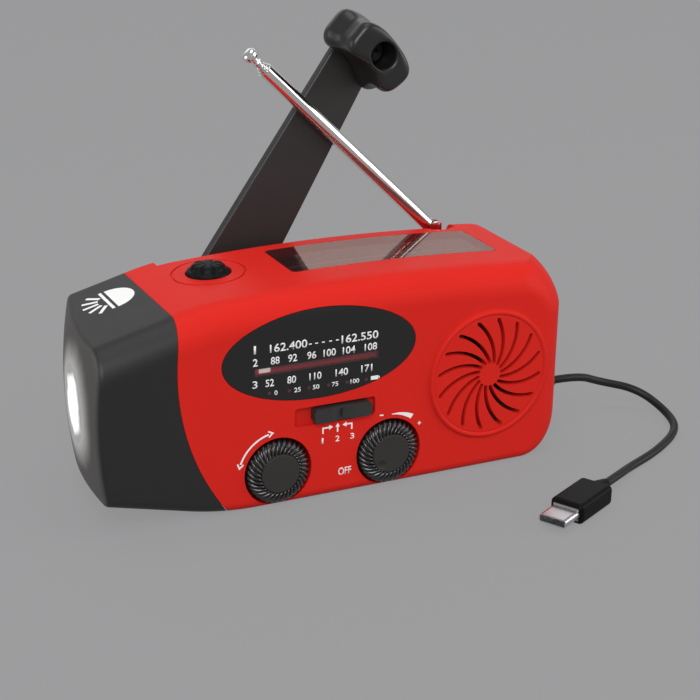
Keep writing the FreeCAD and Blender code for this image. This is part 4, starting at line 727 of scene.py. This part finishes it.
BUTTON_AT = Vector((-28.0, 6.5))
BUTTON_LOBES = 8
BUTTON_STEPS = 96
BUTTON_OUTLINE = [(0, 50.6), (1.5, 50.6), (1.5, 54.3), (7.0, 54.3), (7.0, 55.3), (6.0, 55.3), (6.0, 58.9),
                  (5.92, 59.3), (5.7, 59.6), (5.2, 59.8), (4.9, 60.0), (4.72, 60.4), (4.55, 60.8),
                  (4.25, 61.1), (3.7, 61.3), (2.8, 61.42), (1.6, 61.46), (0.9, 61.48), (0, 61.5)]
FLUTES_FROM = 59.7
FLUTES_FULL = 60.1
FLUTE_PULL = 0.16
FLUTE_DROP = 0.3


def fluted(place, turn):
    """The cap's dents between its lobes, deepest at the rim."""
    radius = math.hypot(place.x, place.y)
    if place.z < FLUTES_FROM or radius < 0.5:
        return place
    high = min(1.0, (place.z - FLUTES_FROM) / (FLUTES_FULL - FLUTES_FROM))
    dent = high * max(0.0, math.cos(BUTTON_LOBES * turn)) ** 3
    pull = 1.0 - FLUTE_PULL * dent * min(1.0, radius / 3.0)
    drop = FLUTE_DROP * dent * min(1.0, radius / 4.0)
    return Vector((place.x * pull, place.y * pull, place.z - drop))


def button_mesh():
    """A fluted cap on a thin disc, with the flange and stem below it."""
    def build(work):
        turned(work, BUTTON_OUTLINE, BUTTON_STEPS, fluted)
        for corner in work.verts:
            corner.co = mm(corner.co.x + BUTTON_AT.x, corner.co.y + BUTTON_AT.y, corner.co.z)

    return mesh_from(build, "torch_push_button", "button")


piece("torch_push_button", button_mesh(), "button", "black_plastic", "torch_button")


# Soft crank grip

GRIP_CELL = 0.3 * MM
GRIP_ROUNDS = 60


def soft_grip():
    """The crank's grip with all its edges rounded off, as moulded in one lump."""
    def build(work):
        work.from_mesh(nodes["crank_knob"].data)

    holder = bpy.data.objects.new("grip_work", mesh_from(build, "grip_work", "grip"))
    bpy.context.scene.collection.objects.link(holder)
    cells = holder.modifiers.new("cells", "REMESH")
    cells.mode = "VOXEL"
    cells.voxel_size = GRIP_CELL
    cells.use_smooth_shade = True
    smooth = holder.modifiers.new("smooth", "SMOOTH")
    smooth.factor = 0.6
    smooth.iterations = GRIP_ROUNDS
    piece("soft_grip", settled(holder), "grip", "black_plastic", "crank_knob")


soft_grip()


# Print on the dial and the front

INK_FRONT = FRONT - 0.03 * MM
INK_BACK = FRONT + 0.02 * MM


def letters(text, across, up, width, height):
    """A mesh of printed numbers that fills a box on the front face, in millimetres."""
    curve = bpy.data.curves.new("print_work", "FONT")
    curve.body = text
    curve.size = 3.0 * MM
    curve.offset = 0.035 * MM
    curve.resolution_u = 6
    holder = bpy.data.objects.new("print_work", curve)
    bpy.context.scene.collection.objects.link(holder)
    mesh = settled(holder)
    low = Vector(min(corner.co[axis] for corner in mesh.vertices) for axis in range(3))
    high = Vector(max(corner.co[axis] for corner in mesh.vertices) for axis in range(3))
    mesh.transform(Matrix.Translation(-0.5 * (low + high)))
    fit = (width * MM / (high.x - low.x), height * MM / (high.y - low.y), 1.0, 1.0)
    mesh.transform(Matrix.Diagonal(fit))
    return moved(mesh, facing_front((across, INK_FRONT / MM, up)))


def corner_at(work, place):
    return work.verts.new(Vector((place[0] * MM, INK_FRONT, place[1] * MM)))


def patch(work, points):
    work.faces.new([corner_at(work, place) for place in points])


def toward(degrees):
    """The direction in XZ at an angle."""
    turn = math.radians(degrees)
    return Vector((math.cos(turn), math.sin(turn)))


def aside(direction):
    return Vector((-direction.y, direction.x))


def stroke(work, points, width):
    """A flat line of given width through XZ points, mitred at its bends."""
    flat = [Vector(point) for point in points]
    runs = [(after - before).normalized() for before, after in zip(flat, flat[1:])]
    sides = []
    for place, before, after in zip(flat, runs[:1] + runs, runs + runs[-1:]):
        side = aside((before + after).normalized())
        reach = side * (0.5 * width / side.dot(aside(after)))
        sides.append([corner_at(work, place + reach), corner_at(work, place - reach)])
    for first, second in zip(sides, sides[1:]):
        work.faces.new((first[0], second[0], second[1], first[1]))


def arc(center, radius, start, end, steps=24):
    """Points on an arc in XZ between two angles in degrees."""
    turns = [start + (end - start) * step / steps for step in range(steps + 1)]
    return [Vector(center) + radius * toward(turn) for turn in turns]


def arrow_head(work, tip, direction, length, width):
    """A filled arrow head that points along an angle in degrees."""
    back = Vector(tip) - toward(direction) * length
    half = aside(toward(direction)) * 0.5 * width
    patch(work, [tip, back + half, back - half])


def print_piece(name, meshes, build, finish_name="print"):
    """Printed marks as one thin piece, with a back so that it is closed."""
    work = bmesh.new()
    for mesh in meshes:
        work.from_mesh(mesh)
    build(work)
    work.normal_update()
    faces = list(work.faces)
    for face in faces:
        if face.normal.y > 0:
            face.normal_flip()
    grown = bmesh.ops.extrude_face_region(work, geom=faces, use_keep_orig=True)
    for item in grown["geom"]:
        if isinstance(item, bmesh.types.BMVert):
            item.co.y = INK_BACK
    work.normal_update()
    for face in work.faces:
        level = sum(corner.co.y for corner in face.verts) / len(face.verts)
        if level > INK_BACK - 1e-7 and face.normal.y < 0:
            face.normal_flip()
    mesh = bpy.data.meshes.new(name)
    work.to_mesh(mesh)
    work.free()
    mesh.materials.append(FINISHES[finish_name])
    piece(name, mesh, "case", "pointer_white")


DIAL_NUMBERS = [
    ("1", -26.6, 46.25, 0.6, 2.3), ("162.400", -17.0, 46.0, 10.7, 2.3), ("162.550", 3.8, 45.5, 10.9, 2.3),
    ("2", -26.5, 42.7, 1.4, 2.1), ("88", -20.85, 42.5, 2.5, 2.1), ("92", -15.85, 42.45, 2.6, 2.1),
    ("96", -10.35, 42.4, 2.6, 2.1), ("100", -5.1, 42.35, 3.6, 2.1), ("104", 0.6, 42.25, 3.7, 2.1),
    ("108", 7.1, 42.2, 3.7, 2.1),
    ("3", -26.6, 36.5, 1.4, 2.1), ("52", -22.4, 36.4, 2.4, 2.1), ("80", -16.1, 36.35, 2.5, 2.1),
    ("110", -9.2, 36.3, 3.5, 2.1), ("140", -1.45, 36.2, 3.7, 2.1), ("171", 6.0, 36.15, 3.3, 2.1),
    ("0", -20.6, 33.35, 0.9, 1.3), ("25", -14.4, 33.2, 1.9, 1.3), ("50", -9.0, 33.15, 1.9, 1.3),
    ("75", -3.4, 33.05, 1.9, 1.3), ("100", 2.5, 33.0, 2.6, 1.3),
]
LAMP_DOTS = [(-22.5, 33.5), (-16.8, 33.3), (-11.0, 33.2), (-5.3, 33.1), (0.2, 33.0), (5.9, 32.9)]
DOT_RADIUS = 0.5
DASHES = (-11.2, -9.4, -7.4, -5.3, -3.3)
DASH_LENGTH = 0.85


def dial_marks(work):
    """The dashes between the first row's numbers, and a cell sign."""
    for left in DASHES:
        stroke(work, [(left, 45.62), (left + DASH_LENGTH, 45.6)], 0.3)
    patch(work, [(7.3, 32.5), (9.5, 32.5), (9.5, 33.6), (7.3, 33.6)])
    patch(work, [(9.6, 32.75), (9.95, 32.75), (9.95, 33.35), (9.6, 33.35)])


def lamp_dots(work):
    for center in LAMP_DOTS:
        patch(work, arc(center, DOT_RADIUS, 0, 345, 23))


print_piece("dial_print", [letters(*entry) for entry in DIAL_NUMBERS], dial_marks)
print_piece("lamp_dots", [], lamp_dots, "lamp_red")


MARK_RADIUS = 11.6
WEDGE_RADIUS = 10.9
WEDGE_STEPS = 16
WEDGE_LOW = 0.15
WEDGE_HIGH = 1.5


def chevron(work, tip, direction, reach, width):
    """An open arrow head that points along an angle in degrees."""
    ends = [tip + reach * toward(direction + turn) for turn in (145, -145)]
    stroke(work, [ends[0], tip, ends[1]], width)


def level_wedge(work):
    """A band round the second knob that grows towards its loud end."""
    inner = arc(VOLUME_AT, WEDGE_RADIUS, 86, 53, WEDGE_STEPS)
    outer = []
    for number, place in enumerate(inner):
        tall = WEDGE_LOW + (WEDGE_HIGH - WEDGE_LOW) * number / WEDGE_STEPS
        outer.append(place + (place - Vector(VOLUME_AT)).normalized() * tall)
    for number in range(WEDGE_STEPS):
        patch(work, [inner[number], inner[number + 1], outer[number + 1], outer[number]])


def front_marks(work):
    """Arrows round the first knob, level wedge at the second, band arrows."""
    stroke(work, arc(TUNING_AT, MARK_RADIUS, 160, 104), 0.5)
    chevron(work, arc(TUNING_AT, MARK_RADIUS, 166, 166, 1)[0], 256, 1.5, 0.42)
    chevron(work, arc(TUNING_AT, MARK_RADIUS, 98, 98, 1)[0], 8, 1.5, 0.42)
    level_wedge(work)
    stroke(work, [(10.3, 21.6), (11.4, 21.5)], 0.36)
    stroke(work, [(22.1, 17.3), (23.1, 17.3)], 0.3)
    stroke(work, [(22.6, 16.8), (22.6, 17.12)], 0.3)
    stroke(work, [(22.6, 17.48), (22.6, 17.8)], 0.3)
    stroke(work, [(-6.8, 19.1), (-6.8, 20.7), (-5.0, 20.7)], 0.42)
    arrow_head(work, (-3.8, 20.7), 0, 1.2, 1.4)
    stroke(work, [(-2.45, 19.0), (-2.45, 20.5)], 0.42)
    arrow_head(work, (-2.45, 21.6), 90, 1.1, 1.3)
    stroke(work, [(1.8, 19.1), (1.8, 20.8), (0.2, 20.8)], 0.42)
    arrow_head(work, (-1.0, 20.8), 180, 1.2, 1.4)


FRONT_LETTERS = [("OFF", -0.1, 7.0, 3.9, 2.2), ("1", -6.9, 17.0, 0.5, 1.7), ("2", -2.45, 17.0, 1.2, 1.7),
                 ("3", 2.0, 17.0, 1.2, 1.7)]
print_piece("front_print", [letters(*entry) for entry in FRONT_LETTERS], front_marks)


# Lamp sign on the torch head

SIGN_AT = Vector((-53.3, 9.3))
SIGN_SCALE = 1.2
SHADE_RADIUS = 5.2
SHADE_FOOT = 1.2
SHADE_RINGS = 6
SHADE_STEPS = 24
BAR_EDGES = (2.6, 1.9)
BAR_STEPS = 12
RAY_TURNS = (-50, -25, 0, 25, 50)
RAY_START = 3.0
RAY_LENGTH = 3.6
RAY_HALF = 0.42
RAY_STEPS = 5
INK_LIFT = 0.03 * MM


def sign_rows():
    """The sign's strips as rows of points: shade, rays and the bar between them."""
    shade = []
    for ring in range(SHADE_RINGS + 1):
        reach = SHADE_RADIUS * ring / SHADE_RINGS
        turns = [90.0 + 180.0 * step / SHADE_STEPS for step in range(SHADE_STEPS + 1)]
        shade.append([Vector((SHADE_FOOT, 0.0)) + reach * toward(turn) for turn in turns])
    rays = []
    for turn in RAY_TURNS:
        start = Vector((SHADE_FOOT, 0.0)) + toward(turn) * RAY_START
        across = aside(toward(turn)) * RAY_HALF
        middle = [start + toward(turn) * RAY_LENGTH * step / RAY_STEPS for step in range(RAY_STEPS + 1)]
        rays.append([[place + across, place - across] for place in middle])
    lefts = [SHADE_RADIUS * (2.0 * step / BAR_STEPS - 1.0) for step in range(BAR_STEPS + 1)]
    bar = [[Vector((edge, left)) for edge in BAR_EDGES] for left in lefts]
    return [shade, *rays, bar]


def lamp_sign():
    """A half disc with rays, laid on the sloping top of the torch head."""
    head = nodes["torch_head"].data
    skin = BVHTree.FromPolygons([corner.co.copy() for corner in head.vertices],
                                [tuple(face.vertices) for face in head.polygons])
    work = bmesh.new()

    def laid(point):
        place = SIGN_AT + Vector((-point.x, point.y)) * SIGN_SCALE
        hit = skin.ray_cast(mm(place.x, place.y, 90.0), Vector((0, 0, -1)))[0]
        return work.verts.new(hit + Vector((0, 0, INK_LIFT)))

    for strip in sign_rows():
        rows = [[laid(point) for point in row] for row in strip]
        for first, second in zip(rows, rows[1:]):
            for low, high in zip(range(len(first)), range(1, len(first))):
                work.faces.new((first[low], second[low], second[high], first[high]))
    bmesh.ops.remove_doubles(work, verts=work.verts, dist=1e-7)
    work.normal_update()
    for face in work.faces:
        if face.normal.z < 0:
            face.normal_flip()
    mesh = bpy.data.meshes.new("lamp_sign")
    work.to_mesh(mesh)
    work.free()
    mesh.materials.append(FINISHES["print"])
    piece("lamp_sign", mesh, "case", "pointer_white")


lamp_sign()


# Floor and light

BACKDROP = rgb(0.337, 0.337, 0.34374)
WORLD_LIGHT = rgb(0.45, 0.45, 0.455)
GLOW_SHARE = 0.8
FLOOR_HALF = 6.0


def lay_floor():
    """A pale floor that the camera, and metal and glass, see as one soft grey."""
    def build(work):
        corners = [(-FLOOR_HALF, -FLOOR_HALF), (FLOOR_HALF, -FLOOR_HALF), (FLOOR_HALF, FLOOR_HALF),
                   (-FLOOR_HALF, FLOOR_HALF)]
        work.faces.new([work.verts.new((x, y, 0)) for x, y in corners])

    finish = new_finish("floor_grey")
    mottle = finish.noise(finish.place(), 3.0)
    grey = finish.blend(mottle, rgb(0.275, 0.275, 0.28), rgb(0.285, 0.285, 0.29))
    matt = finish.add("ShaderNodeBsdfDiffuse", None, {"Color": grey})
    glow = finish.add("ShaderNodeEmission", None, {"Color": BACKDROP})
    share = finish.direct_rays() * GLOW_SHARE
    finish.finished(finish.add("ShaderNodeMixShader", None, {0: share, 1: matt, 2: glow}))
    mesh = mesh_from(build, "floor")
    mesh.materials.append(finish.owner)
    floor = bpy.data.objects.new("floor", mesh)
    bpy.context.scene.collection.objects.link(floor)


def fill_world():
    """An even light all round, seen as the floor's grey."""
    world = bpy.data.worlds.new("studio")
    bpy.context.scene.world = world
    finish = Finish(world)
    colour = finish.blend(finish.direct_rays(), WORLD_LIGHT, BACKDROP)
    finish.finished(finish.add("ShaderNodeBackground", None, {"Color": colour}), "ShaderNodeOutputWorld")


def softbox(name, place, width, height, watts, aim=(0.0, 0.0, 0.04)):
    light = bpy.data.lights.new(name, "AREA")
    light.shape = "RECTANGLE"
    light.size = width
    light.size_y = height
    light.energy = watts
    lamp = bpy.data.objects.new(name, light)
    lamp.visible_camera = False
    lamp.location = place
    lamp.rotation_euler = (Vector(aim) - Vector(place)).to_track_quat("-Z", "Y").to_euler()
    bpy.context.scene.collection.objects.link(lamp)


lay_floor()
fill_world()
softbox("key_softbox", (-0.70, -1.20, 1.05), 0.9, 0.9, 17.5)
softbox("rear_softbox", (0.42, 1.15, 0.58), 1.6, 0.6, 2.2)
softbox("side_softbox", (-1.1, 0.35, 0.30), 0.7, 0.7, 2.5)
softbox("right_softbox", (1.15, -0.60, 0.43), 1.0, 0.8, 7.0)
softbox("top_softbox", (0.0, 0.1, 1.4), 1.0, 1.0, 5.0)

bpy.context.scene.view_settings.view_transform = "Standard"
